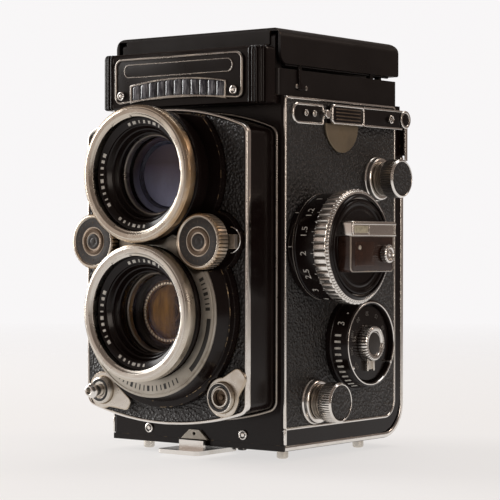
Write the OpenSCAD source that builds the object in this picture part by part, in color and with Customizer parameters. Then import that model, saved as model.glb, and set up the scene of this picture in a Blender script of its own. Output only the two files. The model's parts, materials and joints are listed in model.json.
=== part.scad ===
// Twin lens reflex camera for roll film.
// Bench frame used by every module: x from the camera's centre plane, y rearwards from the
// body's front face, z up from the surface that the feet stand on. placed() moves a module's
// result to the part's own frame, whose origin is the centre of the tripod socket's mouth.

/* [Body] */
// Width of the body casting
body_w = 76; // [74:0.5:78]
// Depth of the body casting, front face to door
body_d = 71.5; // [71:0.5:73]
// Height of the casting's top deck above the table
deck_z = 124; // [123:0.5:125]
// Thickness of the hinged back door
door_t = 2; // [1.5:0.1:2]
// Height of the feet
foot_h = 3.6; // [3:0.1:4]
// Standing height of the leather over the casting
leather_proud = 0.3; // [0.1:0.1:0.5]

/* [Lens standard] */
// Width of the lens board over its bead
board_w = 71; // [70:0.1:71.5]
// Distance of the lens board's front face ahead of the body
board_y = 16.6; // [16:0.1:18]
// Distance of the lens rims' front plane ahead of the body
rim_y = 33.2; // [33:0.1:34]
// Outer radius of the two bayonet rims
rim_r = 23.15; // [22.5:0.05:23.2]
// Bore radius of the two bayonet rims
bayonet_r = 19.3; // [19:0.1:20]
// Height of the viewing lens axis
view_z = 97.2; // [97:0.1:98]
// Height of the taking lens axis
take_z = 50.4; // [50:0.1:51]
// Radius of the aperture and speed wheels
wheel_r = 9.4; // [8.5:0.1:9.4]

/* [Side controls] */
// Outer radius of the knurled focus ring
focus_r = 19.6; // [19:0.1:20]
// Radius of the film reminder dial's base
dial_r = 16.5; // [15:0.1:17]
// Radius of the two spool knobs
spool_knob_r = 6.9; // [6:0.1:7.5]
// Length of the winding crank's arm
crank_len = 25; // [22:1:28]

/* [Hood] */
// Width of the hood lid
lid_w = 73.4; // [73:0.1:74]
// Top of the closed hood lid
lid_z = 147; // [147:0.1:148]

/* [Fits] */
// Radial clearance of shafts that turn or slide
fit = 0.06; // [0.03:0.01:0.09]
// Gap between faces that pass each other
gap = 0.3; // [0.2:0.05:0.4]

/* [Hidden] */

$fn = 64;
black = "#1c1714";
hide = "#191716";
chrome = "#cfcbc2";
brassy = "#b9a98c";
glass = "#5a6478";

body_x = body_w / 2;
skin_x = body_x + leather_proud;
wall_t = 3;
inner_x = body_x - wall_t;
floor_z = foot_h + door_t;
back_y = body_d + door_t;
door_r = 12;
bracket_x = skin_x + 2.9;
board_x = board_w / 2;
bead_w = 1.2;
bead_proud = 0.6;
board_t = 3;
board_front = -board_y;
board_back = board_front + board_t;
skirt_t = 1.4;
skirt_end = 6.2;
slide_gap = 0.2;
plateau_y = board_front - 3;
plateau_r = 32.4;
shroud_y = plateau_y - 5;
shroud_r = 28.8;
rim_front = -rim_y;
rim_back = rim_front + 4.9;

focus_at = [19.2, 72.8];
dial_at = [40.3, 38.9];
upper_at = [55, 97];
lower_at = [17, 19.7];
crank_at = [36, 84];
focus_base_r = 17.9;
lower_collar_r = 7.9;
sleeve_r = 11;
hub_r = 8;
hub_end = 33.2;
crank_shaft_r = 3;
gear_pin_r = 1.5;
hinge_at = [70.9, 119];
wheel_at = [23.2, 74.5];
release_at = [-26.7, 22.7];
flash_at = [26.3, 22.6];
latch_at = [14, 2.4];
lid_axis = [2.2, 143.4];
side_leaf_axis = [34.5, 134.7];
rear_leaf_axis = [70.5, 137];
magnifier_axis = [37, 143.4];

spool_half = 32.8;
spool_r = 10.3;
spool_pin_r = 2.3;
pin_reach = 2.4;
gear_teeth = 20;
gear_pitch_r = norm(upper_at - crank_at) / 2;
gear_x = [-34.7, -33.2];
dome_fn = 240;

// ---- helpers ----
module placed() translate([0, -(body_d + door_t) / 2, -foot_h]) children();
module block(low, high) translate(low) cube(high - low);
module along_x(x0, x1) translate([x0, 0, 0]) rotate([90, 0, 90]) linear_extrude(x1 - x0) children();
module along_y(y0, y1) translate([0, y1, 0]) rotate([90, 0, 0]) linear_extrude(y1 - y0) children();
module along_z(z0, z1) translate([0, 0, z0]) linear_extrude(z1 - z0) children();
module rod_x(at, x0, x1, r) translate([x0, at[0], at[1]]) rotate([0, 90, 0]) cylinder(r = r, h = x1 - x0);
module rod_y(at, y0, y1, r) translate([at[0], y1, at[1]]) rotate([90, 0, 0]) cylinder(r = r, h = y1 - y0);
module rod_z(at, z0, z1, r) translate([at[0], at[1], z0]) cylinder(r = r, h = z1 - z0);
module cone_y(at, y0, y1, r0, r1)
    translate([at[0], y1, at[1]]) rotate([90, 0, 0]) cylinder(r1 = r1, r2 = r0, h = y1 - y0);
module both_sides() {
    children();
    mirror([1, 0, 0]) children();
}
module turned_x(at) translate([0, at[0], at[1]]) rotate([0, 90, 0]) rotate_extrude() children();

// A polygon whose corners [x, y, r] are rounded with radius r
function unit(v) = v / norm(v);
function cross2(u, v) = u[0] * v[1] - u[1] * v[0];
function fillet(a, b, c, r, steps) =
    let (u = unit(a - b), v = unit(c - b), half = acos(u * v) / 2)
    let (centre = b + unit(u + v) * r / sin(half), start = b + u * r / tan(half))
    let (first = atan2(start[1] - centre[1], start[0] - centre[0]))
    let (sweep = (180 - 2 * half) * sign(cross2(b - a, c - b)))
    [for (i = [0:steps]) centre + r * [cos(first + sweep * i / steps), sin(first + sweep * i / steps)]];
function flat(p) = [p[0], p[1]];
function rounded(p, steps = 6) =
    let (n = len(p))
    [for (i = [0:n - 1])
        each p[i][2] > 0
            ? fillet(flat(p[(i + n - 1) % n]), flat(p[i]), flat(p[(i + 1) % n]), p[i][2], steps)
            : [flat(p[i])]];
function frame_corners(x0, x1, y0, y1, r) = [[x0, y0, r], [x1, y0, r], [x1, y1, r], [x0, y1, r]];
module soft_box(x0, x1, y0, y1, r) polygon(rounded(frame_corners(x0, x1, y0, y1, r)));

// Outline of the lens board: bowed at the top and bottom, drawn inwards by inset
board_low = 12;
board_high = 119.8;
low_bow_r = 114.7;
high_bow_r = 95.6;
function low_bow(x, inset) = board_low + low_bow_r - sqrt(pow(low_bow_r - inset, 2) - x * x);
function high_bow(x, inset) = board_high - high_bow_r + sqrt(pow(high_bow_r - inset, 2) - x * x);
function board_outline(inset) =
    let (w = board_x - inset, reach = w - 4.5, r = 4 - inset)
    rounded([
        for (i = [-6:6]) [reach * i / 6, low_bow(reach * i / 6, inset), 0],
        [w, low_bow(w, inset), r],
        [w, high_bow(w, inset), r],
        for (i = [6:-1:-6]) [reach * i / 6, high_bow(reach * i / 6, inset), 0],
        [-w, high_bow(w, inset), r],
        [-w, low_bow(w, inset), r]
    ]);
module board_shape(inset) polygon(board_outline(inset));

// Outline of the leather panel on each side, grown by grow
function side_outline(grow) = rounded([
    [1.2 - grow, 11.7 - grow, 0.4 + grow],
    [67.1 + grow, 11.7 - grow, 5.5 + grow],
    [67.1 + grow, 122.8 + grow, 0.4 + grow],
    [1.2 - grow, 122.8 + grow, 0.4 + grow]
]);
module side_shape(grow) polygon(side_outline(grow));

// ---- body ----
module body_casting() color(black) placed() {
    difference() {
        intersection() {
            along_x(-body_x, body_x) polygon(rounded([
                [0, floor_z, 0], [body_d, floor_z, door_r], [body_d, deck_z, 0], [0, deck_z, 0]
            ]));
            along_z(0, deck_z) polygon(rounded([
                [-body_x, 0, 1.5], [body_x, 0, 1.5], [body_x, body_d + 1, 0], [-body_x, body_d + 1, 0]
            ]));
        }
        block([-inner_x, 8, -1], [inner_x, body_d + 1, 113]);
        block([-inner_x, 8, 112], [inner_x, 68, deck_z - 3]);
        rod_x(lower_at, -inner_x, inner_x, spool_r + 2 * gap);
        along_y(-1, 9) board_shape(bead_w - slide_gap);
        block([-29, 8, deck_z - 4], [29, 64, deck_z + 1]);
        both_sides() {
            along_x(body_x - 0.5, body_x + 1) side_shape(0);
            rod_x(hinge_at, body_x - 2, body_x + 1, 1.5);
        }
        rod_x(focus_at, inner_x - 1, body_x + 1, sleeve_r + fit);
        for (at = [upper_at, lower_at]) rod_x(at, inner_x - 1, body_x + 1, spool_pin_r + fit);
        rod_x(crank_at, -body_x - 1, -inner_x + 1, crank_shaft_r + fit);
        rod_x(upper_at, -body_x + 1.4, -inner_x + 1, gear_pin_r + fit);
    }
    rod_x(lower_at, -inner_x - 0.5, -spool_half + pin_reach, spool_pin_r);
}

module side_leathers() color(hide) placed() {
    difference() {
        along_x(body_x - 0.5, skin_x) side_shape(0);
        rod_x(focus_at, body_x - 1, skin_x + 1, sleeve_r + fit);
        for (at = [upper_at, lower_at]) rod_x(at, body_x - 1, skin_x + 1, spool_pin_r + fit);
    }
    difference() {
        along_x(-skin_x, -body_x + 0.5) side_shape(0);
        rod_x(crank_at, -skin_x - 1, -body_x + 1, crank_shaft_r + fit);
    }
}

// Chrome beads: one round each side panel, one round the opening that the lens board slides in
module case_beads() color(chrome) placed() {
    both_sides() along_x(body_x, body_x + bead_proud) difference() {
        side_shape(1);
        side_shape(0);
    }
    along_y(-bead_proud, 0) difference() {
        board_shape(0);
        board_shape(bead_w - slide_gap);
    }
}

// Inner casting: film window, roof over the film chamber, mirror slope and lower light baffle
module inner_frame() color("#26221f") placed() difference() {
    along_x(-32.6, inner_x) {
        polygon([[60, 20], [62, 20], [62, 81], [13, 81], [13, 79.5], [60, 79.5]]);
        polygon([[60, 20], [60, 22], [31, 33.2], [12, 33.2], [12, 31.8], [30.6, 31.8]]);
        polygon([[13, 81], [15.2, 81], [54, 119.8], [54, 121], [53, 121]]);
    }
    block([-28, 59, take_z - 28], [28, 63, take_z + 28]);
    rod_x(focus_at, hub_end, inner_x + 1, hub_r);
    rod_x(focus_at, hub_end + 1.4, inner_x + 1, sleeve_r + gap);
}

module reflex_mirror() color("#aab4bb") placed() along_x(-27, 27)
    polygon([[14.2, 82.2], [13, 83.4], [49.8, 120.2], [51, 119]]);

module focusing_screen() color("#cdd2d2") placed() block([-30, 7.5, deck_z], [30, 64.5, deck_z + 1.4]);

module screw_x(at, x0, r) difference() {
    rod_x(at, x0, x0 + 0.7, r);
    block([x0 + 0.4, at[0] - r, at[1] - 0.2], [x0 + 1, at[0] + r, at[1] + 0.2]);
}
module screw_y(at, y0, r) difference() {
    rod_y(at, y0 - 0.7, y0, r);
    block([at[0] - r, y0 - 1, at[1] - 0.2], [at[0] + r, y0 - 0.4, at[1] + 0.2]);
}
module case_screws() color(chrome) placed() {
    both_sides() {
        screw_y([21, 8.4], 0, 1.7);
        screw_y([25, 125.6], -10.7, 1.5);
        screw_x([10.5, 118.4], skin_x + 1, 1.1);
        screw_x([15.4, 118.4], skin_x + 1, 1.1);
        screw_x([60.5, 118.6], bracket_x, 1.5);
    }
}

module door_catch() color("#8d877c") placed() along_y(-1, 0) difference() {
    polygon([[-6, floor_z + 0.1], [6, floor_z + 0.1], [2.2, 9], [-2.2, 9]]);
    translate([0, 7.6]) circle(r = 0.6);
}

// ---- front top ----
housing_x = 35.9;
module name_housing() color(black) placed() difference() {
    union() {
        along_z(121, 140.4) polygon(rounded([
            [-housing_x, -10, 4], [housing_x, -10, 4], [housing_x, -2.2, 0], [-housing_x, -2.2, 0]
        ]));
        block([-housing_x, -2.3, 121], [housing_x, 0, deck_z]);
        block([-20, -2.3, deck_z], [20, -2, 132]);
    }
    along_y(-11, -8.4) cell_shape();
    both_sides() for (i = [0:4])
        rod_z([30.6 + 1.25 * i, -10.05 + (i > 1 ? pow(i - 1, 2) * 0.28 : 0)], 120, 142, 0.4);
}

function window_low(x) = 124.8 - x * x * 0.0034;
function window_high(x) = 130.6 - x * x * 0.0041;
module cell_shape() polygon([
    for (i = [-4:4]) [20.5 * i / 4, window_low(20.5 * i / 4)],
    for (i = [4:-1:-4]) [20.5 * i / 4, window_high(20.5 * i / 4)]
]);

module name_plate() color(chrome) placed() along_y(-10.7, -10) difference() {
    polygon(rounded([
        [28.4, 122.5, 3], [28.4, 138.7, 3], [-28.4, 138.7, 3], [-28.4, 122.5, 3],
        [-14, 123.5, 0], [0, 123.9, 0], [14, 123.5, 0]
    ]));
    cell_shape();
}

module meter_window() color(glass) placed() {
    along_y(-9.6, -8.4) cell_shape();
    for (i = [-5:5]) intersection() {
        along_y(-11, -9.6) cell_shape();
        rod_z([3.7 * i, -9.6], 122, 132, 1.1);
    }
}

// ---- hood ----
module hood_base() color(black) placed() difference() {
    union() {
        difference() {
            along_z(deck_z, 133) soft_box(-37, 37, -2, 71.4, 2);
            block([-30, 7.5, deck_z - 1], [30, 64.5, 134]);
        }
        both_sides() {
            along_x(32.2, 34) polygon(rounded([
                [0.3, 133, 0], [4.1, 133, 0], [4.1, 145.2, 1.8], [0.3, 145.2, 1.8]
            ]));
            for (y = [12, 56]) block([33.6, y, 133], [35.3, y + 2, 135.6]);
            block([28, 69.6, 133], [30, 71.3, 137.9]);
            rod_x(lid_axis, 29.6, 32.2, 0.9);
        }
    }
    both_sides() {
        rod_y(side_leaf_axis, 11, 59, 0.6 + fit);
        rod_x(rear_leaf_axis, 27, 31, 0.6 + fit);
    }
}

lid_x = lid_w / 2;
lid_low = 134.8;
module lid_outline(inset) polygon(rounded([
    [-lid_x + inset, lid_low - 1, 0], [lid_x - inset, lid_low - 1, 0],
    [lid_x - inset, lid_z - inset, 3.6 - inset], [-lid_x + inset, lid_z - inset, 3.6 - inset]
]));
module hood_lid() color(black) placed() difference() {
    union() {
        difference() {
            intersection() {
                along_y(0, 72.6) lid_outline(0);
                along_x(-lid_x, lid_x) polygon(rounded([
                    [0, lid_low, 3.5], [72.6, lid_low, 1], [72.6, lid_z, 3], [0, lid_z, 1.2]
                ]));
            }
            along_y(1.2, 71.6) lid_outline(1.2);
            block([-35.5, -1, 130], [35.5, 1.3, 141.3]);
            both_sides() block([31.9, -1, 141], [35.5, 5, lid_z - 1.2]);
        }
        both_sides() {
            along_x(29.8, 31.9) polygon(rounded([
                [0.2, 141.4, 1.6], [4.2, 141.4, 1.6], [4.2, lid_z - 1.2, 0], [0.2, lid_z - 1.2, 0]
            ]));
            along_x(15.2, 16.6) polygon(rounded([
                [35.8, 142.2, 0.9], [38.2, 142.2, 0.9], [38.2, lid_z - 1.2, 0], [35.8, lid_z - 1.2, 0]
            ]));
        }
    }
    both_sides() {
        rod_x(lid_axis, 29, 32, 0.9 + fit);
        rod_x(magnifier_axis, 15, 17, 0.6 + fit);
    }
}

magnifier_mid = magnifier_axis[0] + 17;
magnifier_r = 11.5;
magnifier_t = 0.8;
magnifier_dome = 40;
magnifier_lift = magnifier_dome - 2;
module magnifier_frame() color("#9a978f") placed() {
    difference() {
        along_z(magnifier_axis[1] - magnifier_t / 2, magnifier_axis[1] + magnifier_t / 2)
            soft_box(-14.6, 14.6, magnifier_axis[0] + 1.2, magnifier_axis[0] + 31, 3);
        rod_z([0, magnifier_mid], 130, 150, magnifier_r);
    }
    block([-13, magnifier_axis[0], magnifier_axis[1] - magnifier_t / 2],
        [13, magnifier_axis[0] + 1.3, magnifier_axis[1] + magnifier_t / 2]);
    rod_x(magnifier_axis, -16.6, 16.6, 0.6);
}
module magnifier_ball(lift)
    translate([0, magnifier_mid, magnifier_axis[1] + lift]) sphere(r = magnifier_dome, $fn = dome_fn);
module magnifier_lens() color(glass) placed() intersection() {
    rod_z([0, magnifier_mid], 130, 150, magnifier_r);
    magnifier_ball(magnifier_lift);
    magnifier_ball(-magnifier_lift);
}

leaf_t = 0.7;
module side_leaf() {
    rod_y(side_leaf_axis, 4.6, 68.4, 0.6);
    along_z(side_leaf_axis[1] - leaf_t / 2, side_leaf_axis[1] + leaf_t / 2) {
        polygon([
            [33.1, 4.6], [33.1, 66.6], [29.2, 66.6], [4, 44.6],
            [2.5, 42], [2.5, 14.6], [5.5, 12.4], [17.5, 4.6]
        ]);
        for (y = [[4.6, 11], [20, 50], [60, 66.4]])
            translate([33, y[0]]) square([1.5, y[1] - y[0]]);
    }
}
module hood_leaf_right() color(black) placed() side_leaf();
module hood_leaf_left() color(black) placed() mirror([1, 0, 0]) side_leaf();

module hood_leaf_rear() color(black) placed() {
    rod_x(rear_leaf_axis, -32, 32, 0.6);
    along_z(rear_leaf_axis[1] - leaf_t / 2, rear_leaf_axis[1] + leaf_t / 2) {
        soft_box(-32.8, 32.8, 33, rear_leaf_axis[0] - 1.3, 1.5);
        translate([-26, rear_leaf_axis[0] - 1.4]) square([52, 1.4]);
    }
}

// ---- strap plates and door hinges ----
module strap_plates() color(chrome) placed() both_sides() {
    difference() {
        along_x(skin_x, skin_x + 1) soft_box(3.6, 22, 114.6, 121.9, 3.4);
        along_x(skin_x - 1, skin_x + 2) soft_box(5.2, 8, 115.8, 120.7, 1.2);
    }
    rod_x([21, 118.4], skin_x + 1, skin_x + 3.4, 1.6);
}

module hinge_brackets() color(chrome) placed() both_sides() {
    difference() {
        union() {
            block([skin_x, 24, 115.6], [skin_x + 1.7, 66, 121.8]);
            along_x(skin_x + 1.7, bracket_x) {
                translate([24, 115.2]) square([44, 7]);
                translate(hinge_at) circle(r = 3.3);
            }
            rod_x(hinge_at, body_x - 2, bracket_x, 1.5);
        }
        for (i = [0:5]) block([bracket_x - 0.4, 25, 115.7 + 1.1 * i], [bracket_x + 1, 44, 116.2 + 1.1 * i]);
    }
    along_x(skin_x, skin_x + 0.8) intersection() {
        translate([33, 115.6]) circle(r = 10);
        translate([20, 100]) square([30, 15.5]);
    }
}

// ---- right side controls ----
module ring_x(at, x0, x1, outer, inner) difference() {
    rod_x(at, x0, x1, outer);
    rod_x(at, x0 - 1, x1 + 1, inner);
}
module notched_x(at, x0, x1, r, count, size) difference() {
    rod_x(at, x0, x1, r);
    for (i = [0:count - 1])
        translate([x0 - 1, at[0] + r * cos(i * 360 / count), at[1] + r * sin(i * 360 / count)])
            rotate([0, 90, 0]) cylinder(r = size, h = x1 - x0 + 2, $fn = 16);
}
module notched_y(at, y0, y1, r, count, size) difference() {
    rod_y(at, y0, y1, r);
    for (i = [0:count - 1])
        translate([at[0] + r * cos(i * 360 / count), y1 + 1, at[1] + r * sin(i * 360 / count)])
            rotate([90, 0, 0]) cylinder(r = size, h = y1 - y0 + 2, $fn = 16);
}

// Fixed rings on the right side: under the focus knob and round the two spool knobs
module side_collars() color(chrome) placed() {
    ring_x(focus_at, skin_x, 40.6, focus_base_r, sleeve_r + fit);
    ring_x(upper_at, skin_x, 41.2, 8, spool_pin_r + fit);
    ring_x(lower_at, skin_x, 41.2, lower_collar_r, spool_pin_r + fit);
}

module focus_scale() color(black) placed() difference() {
    union() {
        rod_x(focus_at, 34.9, 41, sleeve_r);
        rod_x(focus_at, 40.9, 50, 18.3);
    }
    rod_x(focus_at, 34, 51, hub_r + fit);
}

module focus_ring() color(brassy) placed() difference() {
    union() {
        notched_x(focus_at, 50, 55, focus_r, 40, 0.5);
        turned_x(focus_at) polygon([[0, 55], [18.6, 55], [17, 56.6], [0, 56.6]]);
    }
    rod_x(focus_at, 49, 54, hub_r + fit);
    rod_x(focus_at, 53, 58, 16.4 + gap);
}

module focus_hub() color(black) placed() {
    rod_x(focus_at, hub_end, 55, hub_r);
    rod_x(focus_at, 54.2, 56.6, 16.4);
    block([hub_end, focus_at[0] - 3, focus_at[1]], [hub_end + 1.4, focus_at[0] + 3, 79.5]);
}

module meter_box() color("#4a453f") placed() difference() {
    union() {
        along_x(56.6, 61) soft_box(6.4, 32.4, 64.3, 76.4, 1.5);
        along_x(56.6, 62) soft_box(6.4, 32.4, 76.4, 81.4, 1);
    }
    block([60, 9, 66.2], [62, 20.5, 74.6]);
    rod_x([26.6, 70.4], 58.5, 62, 1.2 + fit);
}
module meter_glass() color(glass) placed() block([60, 9, 66.2], [60.8, 20.5, 74.6]);
module meter_knob() color(chrome) placed() {
    rod_x([26.6, 70.4], 58.7, 61.2, 1.2);
    notched_x([26.6, 70.4], 61.2, 63.6, 3.1, 20, 0.25);
}

module dial_base() color(black) placed() turned_x(dial_at)
    polygon([
        [3 + fit, skin_x], [dial_r, skin_x], [dial_r, 40.4], [15.3, 46.4],
        [14.6, 46.8], [13.8, 46.8], [13.8, 44], [3 + fit, 44]
    ]);
module reminder_dial() color(chrome) placed() {
    rod_x(dial_at, 40, 44.4, 3);
    rod_x(dial_at, 44.3, 45.2, 13.4);
    notched_x(dial_at, 45.2, 48.4, 6.6, 24, 0.35);
    block([45.2, dial_at[0] - 2.4, dial_at[1] - 9.8], [46.6, dial_at[0] + 2.4, dial_at[1] - 5]);
}

module spool_knob(at) {
    rod_x(at, spool_half - pin_reach, 42, spool_pin_r);
    notched_x(at, 41.5, 48.2, spool_knob_r, 28, 0.35);
    rod_x(at, 48.2, 50, spool_knob_r - 1);
}
module upper_spool_knob() color(chrome) placed() spool_knob(upper_at);
module lower_spool_knob() color(chrome) placed() spool_knob(lower_at);

// ---- film path ----
module spool(at) difference() {
    union() {
        rod_x(at, -spool_half, spool_half, 4.6);
        both_sides() rod_x(at, spool_half - 0.8, spool_half, spool_r);
    }
    both_sides() rod_x(at, spool_half - 4, spool_half + 1, spool_pin_r + fit);
}
module gear_x(at, turn) along_x(gear_x[0], gear_x[1]) translate(at) union() {
    circle(r = gear_pitch_r - 0.8);
    for (i = [0:gear_teeth - 1]) rotate(turn + i * 360 / gear_teeth)
        polygon([[5, -0.75], [gear_pitch_r - 0.8, -0.72], [gear_pitch_r + 0.5, -0.4],
            [gear_pitch_r + 0.5, 0.4], [gear_pitch_r - 0.8, 0.72], [5, 0.75]]);
}
mesh_angle = atan2(upper_at[1] - crank_at[1], upper_at[0] - crank_at[0]);
module takeup_spool() color("#2b2a28") placed() {
    spool(upper_at);
    gear_x(upper_at, mesh_angle + 180 + 180 / gear_teeth);
    rod_x(upper_at, gear_x[1] - 0.1, -spool_half + 4, spool_pin_r + fit);
    rod_x(upper_at, -inner_x - 1.3, gear_x[0] + 0.1, gear_pin_r);
}
module supply_spool() color("#2b2a28") placed() spool(lower_at);

// ---- left side crank ----
module crank_plate() color(chrome) placed() {
    ring_x(crank_at, -skin_x - 1.1, -skin_x, 13, crank_shaft_r + fit);
    rod_x([14, 106], -skin_x - 1.1, -skin_x, 5.4);
}
crank_pin_x = -45;
module crank_hub() color(chrome) placed() {
    rod_x(crank_at, -39.8, gear_x[1], crank_shaft_r);
    gear_x(crank_at, mesh_angle);
    rod_x(crank_at, -42.2, -39.7, 9);
    for (side = [-4.1, 4.1]) along_x(-47.3, -42.1) translate([crank_at[0] + side, crank_at[1]])
        soft_box(-0.9, 0.9, -2.4, 2.4, 0.4);
    translate([0, crank_at[0], 0]) rod_y([crank_pin_x, crank_at[1]], -3.3, 3.3, 0.9);
}
module crank_arm() color(chrome) placed() difference() {
    union() {
        translate([0, crank_at[0], 0]) rod_y([crank_pin_x, crank_at[1]], -2.9, 2.9, 2.1);
        along_x(crank_pin_x - 1.2, crank_pin_x + 1.2) translate(crank_at) polygon(rounded([
            [-2.9, 0.5, 0.3], [-2.9, -crank_len, 2.8], [2.9, -crank_len, 2.8], [2.9, 0.5, 0.3]
        ]));
        rod_x([crank_at[0], crank_at[1] - crank_len + 3.6], crank_pin_x + 1, -39.8, 3.8);
    }
    translate([0, crank_at[0], 0]) rod_y([crank_pin_x, crank_at[1]], -4, 4, 0.9 + fit);
}

// ---- lens standard ----
// Room round the taking lens for its barrel, the two wheels and the viewing barrel
module shroud_room() {
    rod_y([0, take_z], -30, plateau_y, 22.6);
    rod_y([0, view_z], -30, plateau_y, 22.8);
    for (side = [-1, 1]) rod_y([side * wheel_at[0], wheel_at[1]], -30, plateau_y, wheel_r + 0.5);
}
module taking_shroud() difference() {
    cone_y([0, take_z], shroud_y, plateau_y, shroud_r - 0.2, shroud_r + 1.6);
    shroud_room();
}
module lens_board() color(black) placed() difference() {
    union() {
        along_y(board_front, board_back) board_shape(bead_w);
        along_y(board_back, skirt_end) difference() {
            board_shape(bead_w);
            board_shape(bead_w + skirt_t);
        }
        along_y(plateau_y, board_front) intersection() {
            board_shape(bead_w + 0.4);
            union() {
                translate([0, view_z]) circle(r = 26.5);
                difference() {
                    translate([0, take_z]) circle(r = plateau_r);
                    translate(release_at) circle(r = 6.9);
                    translate(flash_at) circle(r = 6.9);
                }
                for (side = [-1, 1]) translate([side * wheel_at[0], wheel_at[1]]) circle(r = 10.4);
                translate([30.2, 75]) circle(r = 4.6);
            }
        }
        for (side = [-1, 1]) rod_y([side * wheel_at[0], wheel_at[1]], -20.4, plateau_y, 7.6);
        taking_shroud();
    }
    rod_y([0, view_z], -30, 0, 18);
    rod_y([0, take_z], -30, 0, 18);
    for (side = [-1, 1]) rod_y([side * wheel_at[0], wheel_at[1]], -30, 0, 2 + fit);
    rod_y(release_at, -30, 0, 2 + fit);
}

module board_leather() color(hide) placed() along_y(board_front - 0.4, board_front) difference() {
    board_shape(bead_w);
    translate([0, view_z]) circle(r = 26.8);
    translate([0, take_z]) circle(r = plateau_r + 0.3);
    for (side = [-1, 1]) translate([side * wheel_at[0], wheel_at[1]]) circle(r = 10.7);
    translate([30.2, 75]) circle(r = 4.9);
    translate(release_at) circle(r = 5.9);
    translate(flash_at) circle(r = 5.8);
}

module board_bead() color(chrome) placed() along_y(board_front - 0.6, board_front + 1.8) difference() {
    board_shape(0);
    board_shape(bead_w);
}

module barrel(z, base_r) difference() {
    union() {
        rod_y([0, z], rim_back, plateau_y - 1.5, base_r);
        rod_y([0, z], plateau_y - 2, plateau_y, base_r - 1);
        rod_y([0, z], plateau_y - 0.1, -8, 18);
    }
    cone_y([0, z], rim_back - 0.01, -23.5, 18.6, 14);
    rod_y([0, z], -30, -7, 14);
}
module viewing_barrel() color(black) placed() barrel(view_z, 22.4);
module taking_barrel() color(black) placed() difference() {
    barrel(take_z, 22.4);
    rod_y([0, take_z], -16, -7, 14);
}

module rim(z) difference() {
    rod_y([0, z], rim_front, rim_back, rim_r);
    rod_y([0, z], rim_front - 1, rim_back + 1, bayonet_r);
}
module viewing_rim() color(brassy) placed() rim(view_z);
module taking_rim() color(chrome) placed() rim(take_z);

// A lens held in a bore of radius r: a disc of thickness t from y0 with a domed front face
module domed(z, y0, t, r, dome) intersection() {
    rod_y([0, z], y0 - 10, y0 + t, r);
    translate([0, y0 + dome, z]) sphere(r = dome, $fn = dome_fn);
}
module viewing_lens() color(glass) placed() {
    domed(view_z, -22.6, 5, 14, 34);
    domed(view_z, -13, 3.5, 14, 60);
}
module taking_lens() color(glass) placed() {
    domed(take_z, -20.6, 5, 14, 40);
    domed(take_z, -11.6, 3, 14, 60);
}
module shutter_ring() color(chrome) placed() difference() {
    rod_y([0, take_z], shroud_y - 0.8, shroud_y, shroud_r);
    shroud_room();
}
blade_count = 6;
module shutter_blades() color("#7a6a50") placed() along_y(-14, -13.2) difference() {
    translate([0, take_z]) circle(r = 14);
    translate([0, take_z]) rotate(15) circle(r = 9, $fn = blade_count * 2);
}

module release_collar() color(chrome) placed() difference() {
    union() {
        rod_y(release_at, -20.6, board_front, 4.6);
        rod_y(release_at, -17.1, board_front, 5.2);
    }
    rod_y(release_at, -30, 0, 2 + fit);
}
module release_button() color(chrome) placed() difference() {
    union() {
        rod_y(release_at, -25.6, -12.2, 2);
        rod_y(release_at, -26.2, -24.2, 2.6);
    }
    rod_y(release_at, -27, -22.2, 1.1);
}
module lock_lever(at, angle, inner, outer, reach, tip) along_y(-18.5, -17.3) translate(at) difference() {
    union() {
        circle(r = outer);
        rotate(angle) polygon(rounded([
            [1, 1 - outer, 0], [reach, -tip, 0.9 * tip], [reach, tip, 0.9 * tip], [1, outer - 1, 0]
        ]));
    }
    circle(r = inner);
}
module release_lock() color(chrome) placed() lock_lever(release_at, -22, 4.6 + fit, 6.4, 13, 2);
module flash_socket() color(chrome) placed() difference() {
    union() {
        rod_y(flash_at, -20.4, board_front, 5.1);
        rod_y(flash_at, -17.1, board_front, 5.7);
    }
    rod_y(flash_at, -21, -17.8, 3.5);
}
module flash_lock() color(chrome) placed() lock_lever(flash_at, 46, 5.1 + fit, 6.7, 12, 2.6);

module wheel(side) translate([side * wheel_at[0], 0, wheel_at[1]]) difference() {
    union() {
        notched_y([0, 0], -28.2, -22.9, wheel_r, 36, 0.35);
        rod_y([0, 0], -23, -14, 2);
    }
    difference() {
        rod_y([0, 0], -29, -27.4, wheel_r - 1.2);
        rod_y([0, 0], -29, -27, 4.3);
    }
}
module aperture_wheel() color(chrome) placed() wheel(-1);
module speed_wheel() color(chrome) placed() wheel(1);

module timer_lever() color(black) placed() translate([wheel_at[0], 0, wheel_at[1]]) along_y(-22.6, -20.7)
    difference() {
        union() {
            circle(r = 5);
            translate([0, -2.4]) square([11.2, 4.8]);
        }
        circle(r = 2.1);
    }

// ---- back door ----
ear_x = [skin_x + 0.5, skin_x + 1.4];
latch_ears = [[-12, -10.3], [8.9, 10.6]];
door_seam = 60;
seam_gap = 0.05;
door_top = 116;
module door_section() difference() {
    polygon(rounded([
        [0, foot_h, 0], [back_y, foot_h, door_r], [back_y, door_top, 0], [0, door_top, 0]
    ], 10));
    polygon(rounded([
        [-1, floor_z, 0], [body_d, floor_z, door_r - door_t], [body_d, door_top + 1, 0], [-1, door_top + 1, 0]
    ], 10));
}
module door_bottom() difference() {
    union() {
        along_x(-body_x, body_x) translate([0, foot_h]) square([door_seam - seam_gap, door_t]);
        for (ear = latch_ears) along_x(ear[0], ear[1]) soft_box(12.4, 15.6, 1.2, foot_h + 0.5, 0.8);
    }
    rod_z([0, back_y / 2], foot_h - 1, foot_h + 1, 7);
    rod_z([0, back_y / 2], foot_h - 1, floor_z + 1, 5);
    rod_x(latch_at, -13, 12, 0.9 + fit);
}
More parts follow.
